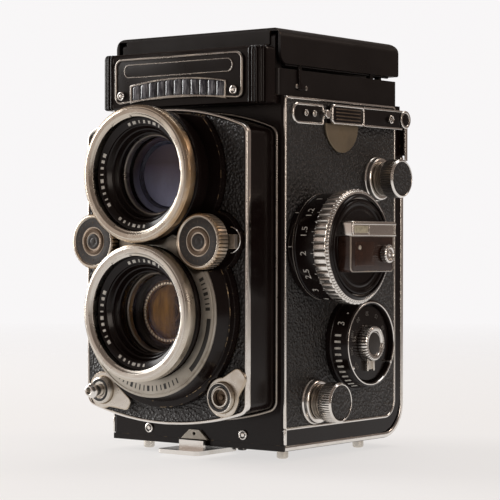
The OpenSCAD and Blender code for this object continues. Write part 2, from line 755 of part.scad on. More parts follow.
module door_back() difference() {
    union() {
        along_x(-body_x, body_x) difference() {
            door_section();
            translate([-1, 0]) square([door_seam + 1, 2 * door_top]);
        }
        both_sides() {
            along_x(ear_x[0], ear_x[1]) {
                translate(hinge_at) circle(r = 3.3);
                translate([body_d + 0.1, 106]) square([door_t - 0.1, hinge_at[1] - 106]);
            }
            block([body_x - 1, body_d + 0.1, 106], [ear_x[1], back_y, door_top - 0.1]);
        }
        for (spot = [[-20, 34], [20, 34], [-20, 66], [20, 66]]) rod_y(spot, 64.5, body_d + 0.5, 1.6);
    }
    both_sides() rod_x(hinge_at, body_x - 1, bracket_x + 1, 1.5 + fit);
}
// Two pressings that meet at a seam: the bottom plate and the back with its round corner
module back_door() color(black) placed() {
    door_bottom();
    door_back();
}
module pressure_plate() color("#6d6a66") placed()
    along_y(63, 64.5) soft_box(-31, 31, take_z - 31, take_z + 31, 3);
module tripod_socket() color(chrome) placed() difference() {
    union() {
        rod_z([0, back_y / 2], foot_h, foot_h + 1, 7);
        rod_z([0, back_y / 2], foot_h + 1, foot_h + 7.4, 5);
    }
    rod_z([0, back_y / 2], foot_h - 1, foot_h + 6, 2.55);
}
module door_latch() color(chrome) placed() {
    along_z(1, 2.5) soft_box(-9.9, 8.5, -9.6, 13.5, 2);
    rod_x(latch_at, -11.8, 10.4, 0.9);
    block([-5.4, -2.6, 2.4], [5.4, -1.4, 5.4]);
}
module feet() color(chrome) placed() both_sides() for (y = [10.3, 56.4]) rod_z([30, y], 0, foot_h, 2);

body_casting();
side_leathers();
case_beads();
inner_frame();
reflex_mirror();
focusing_screen();
case_screws();
door_catch();
name_housing();
name_plate();
meter_window();
hood_base();
strap_plates();
hinge_brackets();
side_collars();
focus_hub();
meter_box();
meter_glass();
dial_base();
crank_plate();
lens_board();
board_leather();
board_bead();
viewing_barrel();
viewing_rim();
viewing_lens();
taking_barrel();
taking_rim();
taking_lens();
shutter_ring();
shutter_blades();
release_collar();
flash_socket();
aperture_wheel();
speed_wheel();
timer_lever();
release_button();
release_lock();
flash_lock();
focus_scale();
focus_ring();
meter_knob();
reminder_dial();
upper_spool_knob();
lower_spool_knob();
takeup_spool();
supply_spool();
crank_hub();
crank_arm();
hood_lid();
magnifier_frame();
magnifier_lens();
hood_leaf_right();
hood_leaf_left();
hood_leaf_rear();
back_door();
pressure_plate();
door_latch();
tripod_socket();
feet();
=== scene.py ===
import json
import math

import bmesh
import bpy
from mathutils import Matrix, Vector, geometry

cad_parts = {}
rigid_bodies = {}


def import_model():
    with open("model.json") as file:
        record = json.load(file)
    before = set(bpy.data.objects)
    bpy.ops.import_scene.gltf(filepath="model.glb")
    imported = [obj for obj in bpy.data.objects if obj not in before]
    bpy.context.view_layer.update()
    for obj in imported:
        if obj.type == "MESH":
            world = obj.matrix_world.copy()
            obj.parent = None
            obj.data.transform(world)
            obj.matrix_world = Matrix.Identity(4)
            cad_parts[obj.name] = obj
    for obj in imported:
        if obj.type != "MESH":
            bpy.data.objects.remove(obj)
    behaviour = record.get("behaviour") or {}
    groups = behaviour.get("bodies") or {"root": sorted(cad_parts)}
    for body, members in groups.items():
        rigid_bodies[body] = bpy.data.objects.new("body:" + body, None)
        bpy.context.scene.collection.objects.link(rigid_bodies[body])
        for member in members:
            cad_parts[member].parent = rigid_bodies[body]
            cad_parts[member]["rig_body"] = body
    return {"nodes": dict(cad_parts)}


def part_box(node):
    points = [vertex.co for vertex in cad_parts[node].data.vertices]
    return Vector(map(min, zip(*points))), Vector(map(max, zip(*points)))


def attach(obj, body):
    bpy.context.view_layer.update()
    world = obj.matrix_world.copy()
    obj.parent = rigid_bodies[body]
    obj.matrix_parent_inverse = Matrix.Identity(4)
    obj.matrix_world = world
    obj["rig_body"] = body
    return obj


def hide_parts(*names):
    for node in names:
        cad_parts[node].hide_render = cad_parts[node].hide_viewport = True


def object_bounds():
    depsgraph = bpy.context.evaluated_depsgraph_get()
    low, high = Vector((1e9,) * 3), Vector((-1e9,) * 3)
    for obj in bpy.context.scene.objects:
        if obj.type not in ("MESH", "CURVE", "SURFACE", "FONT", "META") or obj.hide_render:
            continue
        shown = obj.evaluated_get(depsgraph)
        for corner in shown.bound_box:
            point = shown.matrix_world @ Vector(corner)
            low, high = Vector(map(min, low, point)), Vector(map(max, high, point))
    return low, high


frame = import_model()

# Numbers below are millimetres in the bench frame: x from the camera's centre plane, y rearwards
# from the casting's front face, z up from the surface that the feet stand on.
CAD_LOW, CAD_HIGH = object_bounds()
MM = 0.001
BENCH = Vector((0.0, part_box("body_casting")[0].y, CAD_LOW.z))
TURN = 2 * math.pi
WELD = 2e-6


def span(node):
    """Lowest and highest corner of a CAD node, in bench millimetres."""
    low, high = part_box(node)
    return (low - BENCH) / MM, (high - BENCH) / MM


def middle(node):
    """Centre of a CAD node, in bench millimetres."""
    low, high = span(node)
    return (low + high) / 2


def round_part(node, axis):
    """Lowest and highest corner of a node, and its centre as seen along an axis, x or y."""
    low, high = span(node)
    return low, high, tuple((getattr(low, a) + getattr(high, a)) / 2 for a in ("yz" if axis == "x" else "xz"))


# ---- materials ----
def shader_tree(name, colour, roughness, **sockets):
    """A material with one Principled shader. Returns (material, node tree, shader)."""
    made = bpy.data.materials.new(name)
    made.use_nodes = True
    tree = made.node_tree
    shader = tree.nodes["Principled BSDF"]
    shader.inputs["Base Color"].default_value = (*colour, 1.0)
    shader.inputs["Roughness"].default_value = roughness
    for socket, value in sockets.items():
        shader.inputs[socket.replace("_", " ")].default_value = value
    return made, tree, shader


def feed(shader, socket, output):
    """Links an output to one of a shader's sockets."""
    shader.id_data.links.new(output, shader.inputs[socket])


def add(tree, kind, links=None, **settings):
    """A new node; links fills its input sockets with outputs or plain values."""
    made = tree.nodes.new(kind)
    for key, value in settings.items():
        setattr(made, key, value)
    for socket, value in (links or {}).items():
        if isinstance(value, bpy.types.NodeSocket):
            tree.links.new(value, made.inputs[socket])
        else:
            made.inputs[socket].default_value = value
    return made


def place_of(tree, stretch=(1.0, 1.0, 1.0)):
    """The point in the piece's own space, in metres, stretched along each axis."""
    coords = add(tree, "ShaderNodeTexCoord")
    return add(tree, "ShaderNodeMapping", {"Vector": coords.outputs["Object"], "Scale": stretch}).outputs[0]


def noise(tree, vector, scale, detail, rough=0.5):
    """A cloudy pattern between 0 and 1."""
    links = {"Vector": vector, "Scale": scale, "Detail": detail, "Roughness": rough}
    return add(tree, "ShaderNodeTexNoise", links).outputs["Fac"]


def spread(tree, value, low, high, out_low=0.0, out_high=1.0):
    """Carries value's stretch from low to high over to out_low to out_high."""
    links = {"Value": value, "From Min": low, "From Max": high, "To Min": out_low, "To Max": out_high}
    return add(tree, "ShaderNodeMapRange", links).outputs["Result"]


def maths(tree, operation, a, b):
    return add(tree, "ShaderNodeMath", {0: a, 1: b}, operation=operation).outputs[0]


def blended(tree, share, first, second):
    """Two colours mixed by share; each is a plain colour or an output."""
    made = add(tree, "ShaderNodeMix", data_type="RGBA")
    for index, value in ((0, share), (6, first), (7, second)):
        if isinstance(value, bpy.types.NodeSocket):
            tree.links.new(value, made.inputs[index])
        else:
            made.inputs[index].default_value = value if index == 0 else (*value, 1.0)
    return made.outputs[2]


def raised(tree, height, strength, distance, under=None):
    """A bumped normal; under is the normal it starts from."""
    links = {"Height": height, "Strength": strength, "Distance": distance}
    if under is not None:
        links["Normal"] = under
    return add(tree, "ShaderNodeBump", links).outputs["Normal"]


def attribute(tree, name):
    """A value stored on the mesh; 0 where the piece has none."""
    return add(tree, "ShaderNodeAttribute", attribute_name=name).outputs["Fac"]


def enamel(name, colour, gloss):
    """Stoved black lacquer: faint orange peel, dust haze, and metal showing on worn edges."""
    bare = (0.30, 0.22, 0.13)
    made, tree, shader = shader_tree(name, colour, gloss, IOR=1.32)
    place = place_of(tree)
    haze = noise(tree, place, 45.0, 5.0, 0.6)
    feed(shader, "Roughness", spread(tree, haze, 0.3, 0.75, gloss, gloss + 0.14))
    chips = spread(tree, noise(tree, place, 420.0, 4.0, 0.65), 0.55, 0.64)
    worn = maths(tree, "MULTIPLY", chips, attribute(tree, "wear"))
    dusty = blended(tree, spread(tree, haze, 0.45, 0.8, 0.0, 0.5), colour,
                    tuple(c * 1.8 + 0.003 for c in colour))
    feed(shader, "Base Color", blended(tree, worn, dusty, bare))
    feed(shader, "Metallic", worn)
    peel = noise(tree, place, 1500.0, 2.0)
    feed(shader, "Normal", raised(tree, peel, 0.05, 0.00004))
    return made


def leather(name):
    """Pebbled leatherette: rounded glossy grains with dull creases between them, the creases painted darker
    as shade.
    """
    made, tree, shader = shader_tree(name, (0.02, 0.018, 0.017), 0.4, Specular_IOR_Level=0.7)
    place = place_of(tree)
    drift = add(tree, "ShaderNodeVectorMath", {0: place}, operation="ADD")
    bend = add(tree, "ShaderNodeTexNoise", {"Vector": place, "Scale": 600.0, "Detail": 2.0})
    small = add(tree, "ShaderNodeVectorMath", {0: bend.outputs["Color"], "Scale": 0.0011}, operation="SCALE")
    tree.links.new(small.outputs[0], drift.inputs[1])
    grain = add(tree, "ShaderNodeTexVoronoi", {"Vector": drift.outputs[0], "Scale": 950.0,
                                               "Randomness": 1.0}, feature="SMOOTH_F1")
    grain.inputs["Smoothness"].default_value = 0.3
    pebble = spread(tree, grain.outputs["Distance"], 0.12, 0.72, 1.0, 0.0)
    fine = noise(tree, place, 2600.0, 2.0)
    height = maths(tree, "MULTIPLY_ADD", fine, 0.3)
    tree.links.new(pebble, height.node.inputs[2])
    feed(shader, "Normal", raised(tree, height, 1.0, 0.0005))
    # painted shade: the creases between the grains are darker than the grain tops
    painted_crease_shade = blended(tree, pebble, (0.003, 0.0018, 0.0015), (0.009, 0.0058, 0.0047))
    rub = spread(tree, noise(tree, place, 60.0, 4.0), 0.52, 0.8, 0.0, 0.3)
    feed(shader, "Base Color", blended(tree, rub, painted_crease_shade, (0.019, 0.0135, 0.011)))
    feed(shader, "Roughness", spread(tree, pebble, 0.0, 1.0, 0.65, 0.3))
    return made


def plated(name, colour, worn_colour, wear, gloss):
    """Plated metal: hairline scratches, cloudy patches worn towards the base metal, grime in grooves."""
    grime = (0.07, 0.055, 0.04)
    made, tree, shader = shader_tree(name, colour, gloss, Metallic=1.0)
    place = place_of(tree)
    cloud = noise(tree, place, 110.0, 5.0, 0.62)
    broad = noise(tree, place, 28.0, 3.0)
    patch = spread(tree, maths(tree, "MULTIPLY", cloud, broad), 0.27, 0.40, 0.0, 0.8 * wear)
    edge = maths(tree, "MULTIPLY", attribute(tree, "wear"), spread(tree, cloud, 0.3, 0.55, 0.25 * wear, wear))
    share = maths(tree, "MAXIMUM", patch, edge)
    dirt = attribute(tree, "dirt")
    tinted = blended(tree, share, colour, worn_colour)
    feed(shader, "Base Color", blended(tree, dirt, tinted, grime))
    dull = spread(tree, cloud, 0.3, 0.7, gloss * 0.7, gloss * 1.7 + 0.04)
    rough = maths(tree, "MULTIPLY_ADD", dirt, 0.3)
    tree.links.new(dull, rough.node.inputs[2])
    feed(shader, "Roughness", rough)
    lines = noise(tree, place_of(tree, (1.0, 1.0, 14.0)), 260.0, 3.0, 0.7)
    pits = noise(tree, place, 2600.0, 2.0)
    under = raised(tree, lines, 0.07, 0.00006)
    feed(shader, "Normal", raised(tree, pits, 0.05, 0.00003, under))
    return made


def matt(name, colour, roughness, grain=900.0, lift=0.00005, **sockets):
    """A dull even finish with a fine grain in colour and surface."""
    made, tree, shader = shader_tree(name, colour, roughness, **sockets)
    place = place_of(tree)
    speck = noise(tree, place, grain, 4.0, 0.6)
    darker = tuple(c * 0.65 for c in colour)
    lighter = tuple(min(1.0, c * 1.3 + 0.002) for c in colour)
    feed(shader, "Base Color", blended(tree, spread(tree, speck, 0.3, 0.7), darker, lighter))
    uneven = noise(tree, place, grain / 12, 3.0)
    feed(shader, "Roughness", spread(tree, uneven, 0.3, 0.7, roughness * 0.85, min(1.0, roughness * 1.2)))
    feed(shader, "Normal", raised(tree, speck, 0.25, lift))
    return made


def coated_glass(name, reflection, tint):
    """Lens glass: a coloured anti-reflection coating with faint dust on it."""
    made, tree, shader = shader_tree(name, tint, 0.02, IOR=1.28, Transmission_Weight=1.0)
    shader.inputs["Specular Tint"].default_value = (*reflection, 1.0)
    dust = spread(tree, noise(tree, place_of(tree), 900.0, 4.0, 0.7), 0.55, 0.8, 0.015, 0.12)
    feed(shader, "Roughness", dust)
    return made


def amber_with_painted_glow(name, centre):
    """The rear group seen through the open shutter: amber, with a painted glow brighter towards one side, and
    fine rings.
    """
    made, tree, shader = shader_tree(name, (0.5, 0.25, 0.05), 0.25, Metallic=0.6)
    at = BENCH + Vector(centre) * MM
    place = add(tree, "ShaderNodeTexCoord").outputs["Object"]
    offset = add(tree, "ShaderNodeVectorMath", {0: place, 1: tuple(at)}, operation="SUBTRACT").outputs[0]
    split = add(tree, "ShaderNodeSeparateXYZ", {"Vector": offset})
    length = add(tree, "ShaderNodeVectorMath", {0: offset}, operation="LENGTH").outputs["Value"]
    rings = add(tree, "ShaderNodeMath", {0: maths(tree, "MULTIPLY", length, 2600.0)},
                operation="SINE").outputs[0]
    # painted highlight: bright amber towards low x, fading to dark towards high x
    side = spread(tree, split.outputs["X"], -0.008, 0.002, 1.0, 0.0)
    streak = noise(tree, place_of(tree, (2.0, 1.0, 0.35)), 420.0, 3.0)
    share = maths(tree, "MULTIPLY", side, spread(tree, streak, 0.3, 0.7, 0.45, 1.15))
    colour = blended(tree, share, (0.03, 0.018, 0.008), (0.8, 0.45, 0.08))
    feed(shader, "Base Color", blended(tree, spread(tree, rings, 0.6, 1.0, 0.0, 0.35), colour,
                                       (0.2, 0.12, 0.05)))
    return made


def ground_glass(name):
    """The focusing screen's frosted surface."""
    made, tree, shader = shader_tree(name, (0.62, 0.65, 0.66), 0.4, Transmission_Weight=0.35, IOR=1.5)
    place = place_of(tree)
    speck = noise(tree, place, 4200.0, 2.0)
    feed(shader, "Normal", raised(tree, speck, 0.5, 0.00003))
    feed(shader, "Roughness", spread(tree, speck, 0.3, 0.7, 0.3, 0.55))
    return made


def ribbed_glass_painted_streaks(name):
    """The meter's glass cells: dark, with pale upright streaks painted in as reflections."""
    made, tree, shader = shader_tree(name, (0.05, 0.05, 0.06), 0.08)
    # painted reflection: pale upright streaks in the base colour
    streak = noise(tree, place_of(tree, (1.0, 1.0, 0.22)), 900.0, 4.0, 0.7)
    share = spread(tree, streak, 0.42, 0.72)
    feed(shader, "Base Color", blended(tree, share, (0.012, 0.014, 0.024), (0.34, 0.35, 0.38)))
    feed(shader, "Roughness", spread(tree, streak, 0.3, 0.7, 0.05, 0.16))
    return made


def painted_twilight_reflection(name, centre_z):
    """A painted reflection for the depth of the viewing lens: brown above and slate blue below."""
    made, tree, shader = shader_tree(name, (0.1, 0.07, 0.06), 0.3, Metallic=0.2)
    split = add(tree, "ShaderNodeSeparateXYZ", {"Vector": place_of(tree)})
    height = BENCH.z + centre_z * MM
    # painted reflection: slate blue towards the bottom, brown towards the top
    share = spread(tree, split.outputs["Z"], height - 0.010, height + 0.004, 1.0, 0.0)
    cloud = noise(tree, place_of(tree, (1.0, 1.0, 0.5)), 260.0, 3.0)
    mottled = maths(tree, "MULTIPLY", share, spread(tree, cloud, 0.3, 0.7, 0.75, 1.1))
    feed(shader, "Base Color", blended(tree, mottled, (0.06, 0.028, 0.018), (0.34, 0.36, 0.48)))
    return made


LENS_Z = {"viewing": middle("viewing_rim").z, "taking": middle("taking_rim").z}
BLACK = (0.0065, 0.0036, 0.0031)
LOOKS = {
    "enamel": (enamel("black_enamel", BLACK, 0.14), "black_enamel"),
    "satin": (enamel("satin_black", (0.008, 0.0055, 0.005), 0.26), "black_enamel"),
    "leather": (leather("pebbled_leatherette"), "leatherette"),
    "chrome": (plated("bright_chrome", (0.80, 0.77, 0.73), (0.56, 0.48, 0.38), 0.4, 0.14), "bright_chrome"),
    "worn": (plated("worn_chrome", (0.66, 0.62, 0.56), (0.46, 0.36, 0.24), 0.7, 0.22), "worn_chrome"),
    "nickel": (plated("warm_nickel", (0.66, 0.62, 0.56), (0.50, 0.43, 0.33), 0.6, 0.24), "worn_chrome"),
    "brassy": (plated("brassy_chrome", (0.60, 0.54, 0.46), (0.42, 0.29, 0.17), 1.0, 0.24), "worn_chrome"),
    "steel": (plated("dark_steel", (0.34, 0.31, 0.28), (0.5, 0.42, 0.32), 0.6, 0.25), "dark_steel"),
    "bronze": (plated("bronze_ring", (0.15, 0.11, 0.08), (0.07, 0.05, 0.04), 0.7, 0.4), "dark_steel"),
    "khaki": (plated("khaki_plate", (0.27, 0.22, 0.155), (0.26, 0.2, 0.13), 0.5, 0.45), "worn_chrome"),
    "catch": (plated("dull_nickel", (0.42, 0.39, 0.34), (0.3, 0.25, 0.19), 0.7, 0.42), "dark_steel"),
    "blades": (plated("blued_blades", (0.16, 0.11, 0.07), (0.08, 0.06, 0.05), 0.8, 0.35), "blade_steel"),
    "matt": (matt("matt_black", (0.008, 0.0075, 0.007), 0.75), "inner_black"),
    "plastic": (matt("spool_plastic", (0.02, 0.019, 0.018), 0.38, 500.0, 0.00002), "spool_plastic"),
    "rubber": (matt("dark_grip", (0.022, 0.017, 0.014), 0.5, 1400.0, 0.00012), "inner_black"),
    "paint": (matt("white_paint", (0.62, 0.6, 0.55), 0.5, 1500.0, 0.00002), "bright_chrome"),
    "grey_paint": (matt("grey_paint", (0.12, 0.11, 0.1), 0.5, 1500.0, 0.00002), "bright_chrome"),
    "tinted_paint": (matt("cream_window", (0.42, 0.38, 0.28), 0.3, 700.0, 0.00002), "window_glass"),
    "ink": (matt("black_filling", (0.01, 0.009, 0.008), 0.45), "inner_black"),
    "card": (matt("meter_window_brown", (0.035, 0.014, 0.008), 0.18, 300.0, 0.00001), "window_glass"),
    "meter_front": (matt("meter_front_brown", (0.028, 0.013, 0.009), 0.2, 300.0, 0.00001), "inner_black"),
    "view_glass": (coated_glass("coated_glass_blue", (0.42, 0.5, 1.0), (0.92, 0.94, 1.0)), "lens_glass"),
    "take_glass": (coated_glass("coated_glass_amber", (0.7, 0.65, 1.0), (1.0, 0.95, 0.88)), "lens_glass"),
    "amber": (amber_with_painted_glow("amber_rear_group_painted_glow", (0, -12.6, LENS_Z["taking"])), "lens_glass"),
    "twilight": (painted_twilight_reflection("viewing_depth_painted_reflection", LENS_Z["viewing"]), "lens_glass"),
    "lenslet": (ribbed_glass_painted_streaks("lenslet_glass"), "window_glass"),
    "window": (coated_glass("window_glass", (0.8, 0.85, 1.0), (0.93, 0.95, 0.96)), "window_glass"),
    "screen": (ground_glass("ground_glass"), "screen_glass"),
    "mirror": (plated("silvered_mirror", (0.86, 0.87, 0.88), (0.7, 0.7, 0.7), 0.1, 0.03), "mirror_glass"),
}


# ---- outlines ----
def rounded(corners, steps=8):
    """An outline from corners (a, b, radius), each radius drawn as an arc."""
    result = []
    for i, (a, b, radius) in enumerate(corners):
        here = Vector((a, b))
        if radius <= 0:
            result.append(here)
            continue
        back = (Vector(corners[i - 1][:2]) - here).normalized()
        on = (Vector(corners[(i + 1) % len(corners)][:2]) - here).normalized()
        half = math.acos(max(-1.0, min(1.0, back.dot(on)))) / 2
        centre = here + (back + on).normalized() * (radius / math.sin(half))
        first = here + back * (radius / math.tan(half)) - centre
        sweep = (math.pi - 2 * half) * (1 if (-back.x * on.y + back.y * on.x) > 0 else -1)
        for s in range(steps + 1):
            result.append(centre + Matrix.Rotation(sweep * s / steps, 2) @ first)
    return result


def rect(a0, b0, a1, b1, *radii, steps=8):
    """A rectangle's outline. The radii start at its lowest corner; the last stands for the rest."""
    radii += radii[-1:] * (4 - len(radii))
    corners = ((a0, b0), (a1, b0), (a1, b1), (a0, b1))
    return rounded([(*corner, radius) for corner, radius in zip(corners, radii)], steps)


def grown(path, out):
    """A closed counter-clockwise outline moved outwards by out."""
    result = []
    for i, here in enumerate(path):
        before = (here - path[i - 1]).normalized()
        after = (path[(i + 1) % len(path)] - here).normalized()
        n1, n2 = Vector((before.y, -before.x)), Vector((after.y, -after.x))
        result.append(here + (n1 + n2) * (out / (1 + n1.dot(n2))))
    return result


def eased(profile, width):
    """A profile with each corner cut back by width and rounded. It is open if an end lies on the axis."""
    closed = profile[0][1] != 0 and profile[-1][1] != 0
    steps, result = 3, []
    for i, corner in enumerate(profile):
        if not closed and i in (0, len(profile) - 1):
            result.append(tuple(corner))
            continue
        here = Vector(corner)
        back = Vector(profile[i - 1]) - here
        on = Vector(profile[(i + 1) % len(profile)]) - here
        first = here + back.normalized() * min(width, 0.45 * back.length)
        last = here + on.normalized() * min(width, 0.45 * on.length)
        for s in range(steps + 1):
            t = s / steps
            result.append(tuple(first * (1 - t) ** 2 + here * (2 * t * (1 - t)) + last * t * t))
    return result


def arc(centre, radius, start, stop, steps):
    """Points along part of a circle, from one angle to another in degrees."""
    turns = [math.radians(start + (stop - start) * s / steps) for s in range(steps + 1)]
    return [Vector((centre[0] + radius * math.cos(t), centre[1] + radius * math.sin(t))) for t in turns]


def shifted(start, profile):
    """A profile whose distances along the axis count from start."""
    return [(start + along, radius) for along, radius in profile]


def at_axis(axis, along, a, b):
    """A point from its distance along an axis and its two other coordinates."""
    return {"x": (along, a, b), "y": (a, along, b), "z": (a, b, along)}[axis]


# ---- shapes: each is (points, faces, dirt) ----
def loft(rings, closed=False, caps=False):
    """Skin over rings of points; a ring of one point is a pole."""
    points, faces, starts = [], [], []
    for ring in rings:
        starts.append(len(points))
        points += ring
    pairs = list(zip(range(len(rings)), range(1, len(rings))))
    if closed:
        pairs.append((len(rings) - 1, 0))
    for a, b in pairs:
        na, nb = len(rings[a]), len(rings[b])
        for i in range(max(na, nb)):
            j = (i + 1) % max(na, nb)
            corners = [starts[a] + i % na, starts[a] + j % na, starts[b] + j % nb, starts[b] + i % nb]
            face = list(dict.fromkeys(corners))
            if len(face) > 2:
                faces.append(face)
    if caps:
        faces.append(list(range(starts[0] + len(rings[0]) - 1, starts[0] - 1, -1)))
        faces.append(list(range(starts[-1], starts[-1] + len(rings[-1]))))
    return points, faces, None


def spun(axis, centre, profile, steps, cut=None, depth=1.0):
    """A profile of (along, radius) turned round an axis. cut(along, radius, angle) is how deep the
    surface is cut back there, as a share of depth."""
    rings, dirt = [], []
    for along, radius in profile:
        if radius < 1e-6:
            rings.append([at_axis(axis, along, *centre)])
            dirt.append(0.0)
            continue
        ring = []
        for i in range(steps):
            angle = TURN * i / steps
            share = cut(along, radius, angle) if cut else 0.0
            r = radius - share * depth
            ring.append(at_axis(axis, along, centre[0] + r * math.cos(angle),
                                centre[1] + r * math.sin(angle)))
            dirt.append(max(0.0, share))
        rings.append(ring)
    points, faces, _ = loft(rings, closed=profile[0][1] > 0 and profile[-1][1] > 0)
    return points, faces, dirt


def knurl(count, least, width):
    """Cuts count V-grooves into the parts of a turned piece that have at least that radius. width is
    the share of the round that the grooves take up."""
    def cut(along, radius, angle):
        if radius < least:
            return 0.0
        phase = (angle * count / TURN) % 1.0
        return max(0.0, 1.0 - abs(phase - 0.5) / (width / 2))
    return cut


def swept(axis, path, section, open_ends=False):
    """A closed section of (out, along) carried along an outline."""
    rings = []
    if open_ends:
        for i, here in enumerate(path):
            before, after = path[max(i - 1, 0)], path[min(i + 1, len(path) - 1)]
            way = (after - before).normalized()
            out = Vector((way.y, -way.x))
            rings.append([at_axis(axis, along, *(here + out * o)) for o, along in section])
        return loft(rings, caps=True)
    for out, along in section:
        rings.append([at_axis(axis, along, *p) for p in grown(path, out)])
    return loft(rings, closed=True)


def plate(axis, path, low, high, edge=0.3):
    """A flat solid with the outline path, from low to high along an axis, its edges rounded."""
    steps = 3
    turns = [math.pi / 2 * s / steps for s in range(steps + 1)]
    rings = [(edge * (math.cos(t) - 1), high - edge + edge * math.sin(t)) for t in turns]
    section = [(o, low + high - a) for o, a in reversed(rings)] + rings
    return loft([[at_axis(axis, a, *p) for p in grown(path, o)] for o, a in section], caps=True)


def joined(*shapes):
    """Several shapes as one."""
    points, faces, dirt = [], [], []
    for more_points, more_faces, more_dirt in shapes:
        base = len(points)
        points += more_points
        faces += [[base + i for i in face] for face in more_faces]
        dirt += more_dirt or [0.0] * len(more_points)
    return points, faces, dirt


def moved(shape, change):
    points, faces, dirt = shape
    return [tuple(change(*p)) for p in points], faces, dirt


def mirrored(shape):
    return moved(shape, lambda x, y, z: (-x, y, z))


def both(shape):
    """A shape and its mirror image across the centre plane."""
    return joined(shape, mirrored(shape))


# ---- pieces ----
def turns_round(spot, outline):
    """How many times an outline goes round a point, counter-clockwise."""
    count = 0
    for i, b in enumerate(outline):
        a = outline[i - 1]
        side = (b.x - a.x) * (spot.y - a.y) - (spot.x - a.x) * (b.y - a.y)
        if a.y <= spot.y < b.y and side > 0:
            count += 1
        if b.y <= spot.y < a.y and side < 0:
            count -= 1
    return count


def recut(work):
    """Cuts a flat face into triangles itself where the usual way would fill in its notches or holes."""
    covered = {}
    for loops in work.calc_loop_triangles():
        a, b, c = [loop.vert.co for loop in loops]
        covered[loops[0].face] = covered.get(loops[0].face, 0.0) + (b - a).cross(c - a).length / 2
    for face, area in covered.items():
        if len(face.verts) < 5 or abs(area - face.calc_area()) < 0.01 * MM * MM:
            continue
        flat = face.normal.to_track_quat("Z", "Y").to_matrix().inverted()
        corners = list(face.verts)
        depth = (flat @ corners[0].co).z
        outline = [(flat @ v.co).to_2d() / MM for v in corners]
        sides = [(i, (i + 1) % len(outline)) for i in range(len(outline))]
        spots, _, triangles, origins, _, _ = geometry.delaunay_2d_cdt(outline, sides, [], 0, 1e-5)
        verts = [corners[from_corner[0]] if from_corner
                 else work.verts.new(flat.inverted() @ Vector((spot.x * MM, spot.y * MM, depth)))
                 for spot, from_corner in zip(spots, origins)]
        for triangle in triangles:
            inside = sum((spots[i] for i in triangle), Vector((0.0, 0.0))) / 3
            if turns_round(inside, outline) > 0:
                work.faces.new([verts[i] for i in triangle], face)
        work.faces.remove(face)


def show(name, mesh, look, body, stands_for, sharp):
    """Puts a mesh on its body, with its material, in place of the CAD nodes it stands for."""
    tidy = bmesh.new()
    tidy.from_mesh(mesh)
    bmesh.ops.recalc_face_normals(tidy, faces=tidy.faces)
    recut(tidy)
    tidy.to_mesh(mesh)
    tidy.free()
    mesh.polygons.foreach_set("use_smooth", [True] * len(mesh.polygons))
    mesh.set_sharp_from_angle(angle=math.radians(sharp))
    material, slot = LOOKS[look]
    mesh.materials.append(material)
    obj = bpy.data.objects.new(name, mesh)
    bpy.context.scene.collection.objects.link(obj)
    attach(obj, body)
    if stands_for:
        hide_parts(*stands_for)
    return obj


def piece(name, shape, look, body=None, node=None, sharp=38, wear=None):
    """A new piece from a shape. It rides on body, or on the body of the CAD node it stands for.
    wear(x, y, z) says how worn it is at a point, from 0 to 1."""
    points, faces, dirt = shape
    mesh = bpy.data.meshes.new(name)
    mesh.from_pydata([BENCH + Vector(p) * MM for p in points], [], faces)
    if dirt:
        layer = mesh.attributes.new("dirt", "FLOAT", "POINT")
        layer.data.foreach_set("value", dirt)
    if wear:
        layer = mesh.attributes.new("wear", "FLOAT", "POINT")
        layer.data.foreach_set("value", [max(0.0, min(1.0, wear(*p))) for p in points])
    stands_for = [node] if node else []
    return show(name, mesh, look, body or frame["nodes"][node]["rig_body"], stands_for, sharp)


def refined(node, look, bevel, steps=2, limit=None):
    """A finished copy of a CAD node: one clean skin, its flat faces whole and its edges rounded.
    limit(x, y, z) may draw points in before that."""
    source = frame["nodes"][node]
    work = bmesh.new()
    work.from_mesh(source.data)
    bmesh.ops.remove_doubles(work, verts=work.verts, dist=WELD)
    if limit:
        for v in work.verts:
            v.co = BENCH + Vector(limit(*((v.co - BENCH) / MM))) * MM
    bmesh.ops.dissolve_limit(work, angle_limit=math.radians(0.6), verts=work.verts, edges=work.edges)
    corner = math.radians(42)
    sharp = [e for e in work.edges if e.is_manifold and e.calc_face_angle(0.0) > corner]
    made = bmesh.ops.bevel(work, geom=sharp, offset=bevel * MM, segments=steps, profile=0.6, affect="EDGES",
                           clamp_overlap=True, harden_normals=False)
    worn = set(made["faces"])
    bmesh.ops.recalc_face_normals(work, faces=work.faces)
    work.faces.ensure_lookup_table()
    flags = [1.0 if f in worn else 0.0 for f in work.faces]
    work.verts.index_update()
    mesh = bpy.data.meshes.new(node + "_finished")
    mesh.from_pydata([v.co.copy() for v in work.verts], [], [[v.index for v in f.verts] for f in work.faces])
    work.free()
    layer = mesh.attributes.new("wear", "FLOAT", "FACE")
    layer.data.foreach_set("value", flags)
    obj = show(node + "_finished", mesh, look, source["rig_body"], [node], 32)
    obj.modifiers.new("even_shading", "WEIGHTED_NORMAL").keep_sharp = True
    return obj


def kept(node, look):
    """A CAD node shown as it is, in a better material."""
    obj = frame["nodes"][node]
    material, slot = LOOKS[look]
    obj.data.materials.clear()
    obj.data.materials.append(material)


# ---- marks: numerals and bars laid on a surface ----
MARK_T = 0.04


def numeral(text, size):
    """Flat figures of the default font, centred, as a shape."""
    curve = bpy.data.curves.new("numeral", "FONT")
    curve.body, curve.size, curve.extrude = text, size, MARK_T
    curve.align_x, curve.align_y, curve.resolution_u = "CENTER", "CENTER", 3
    temp = bpy.data.objects.new("numeral", curve)
    bpy.context.scene.collection.objects.link(temp)
    bpy.context.view_layer.update()
    mesh = bpy.data.meshes.new_from_object(temp.evaluated_get(bpy.context.evaluated_depsgraph_get()))
    points = [tuple(v.co) for v in mesh.vertices]
    faces = [list(p.vertices) for p in mesh.polygons]
    bpy.data.objects.remove(temp)
    bpy.data.meshes.remove(mesh)
    return points, faces, None


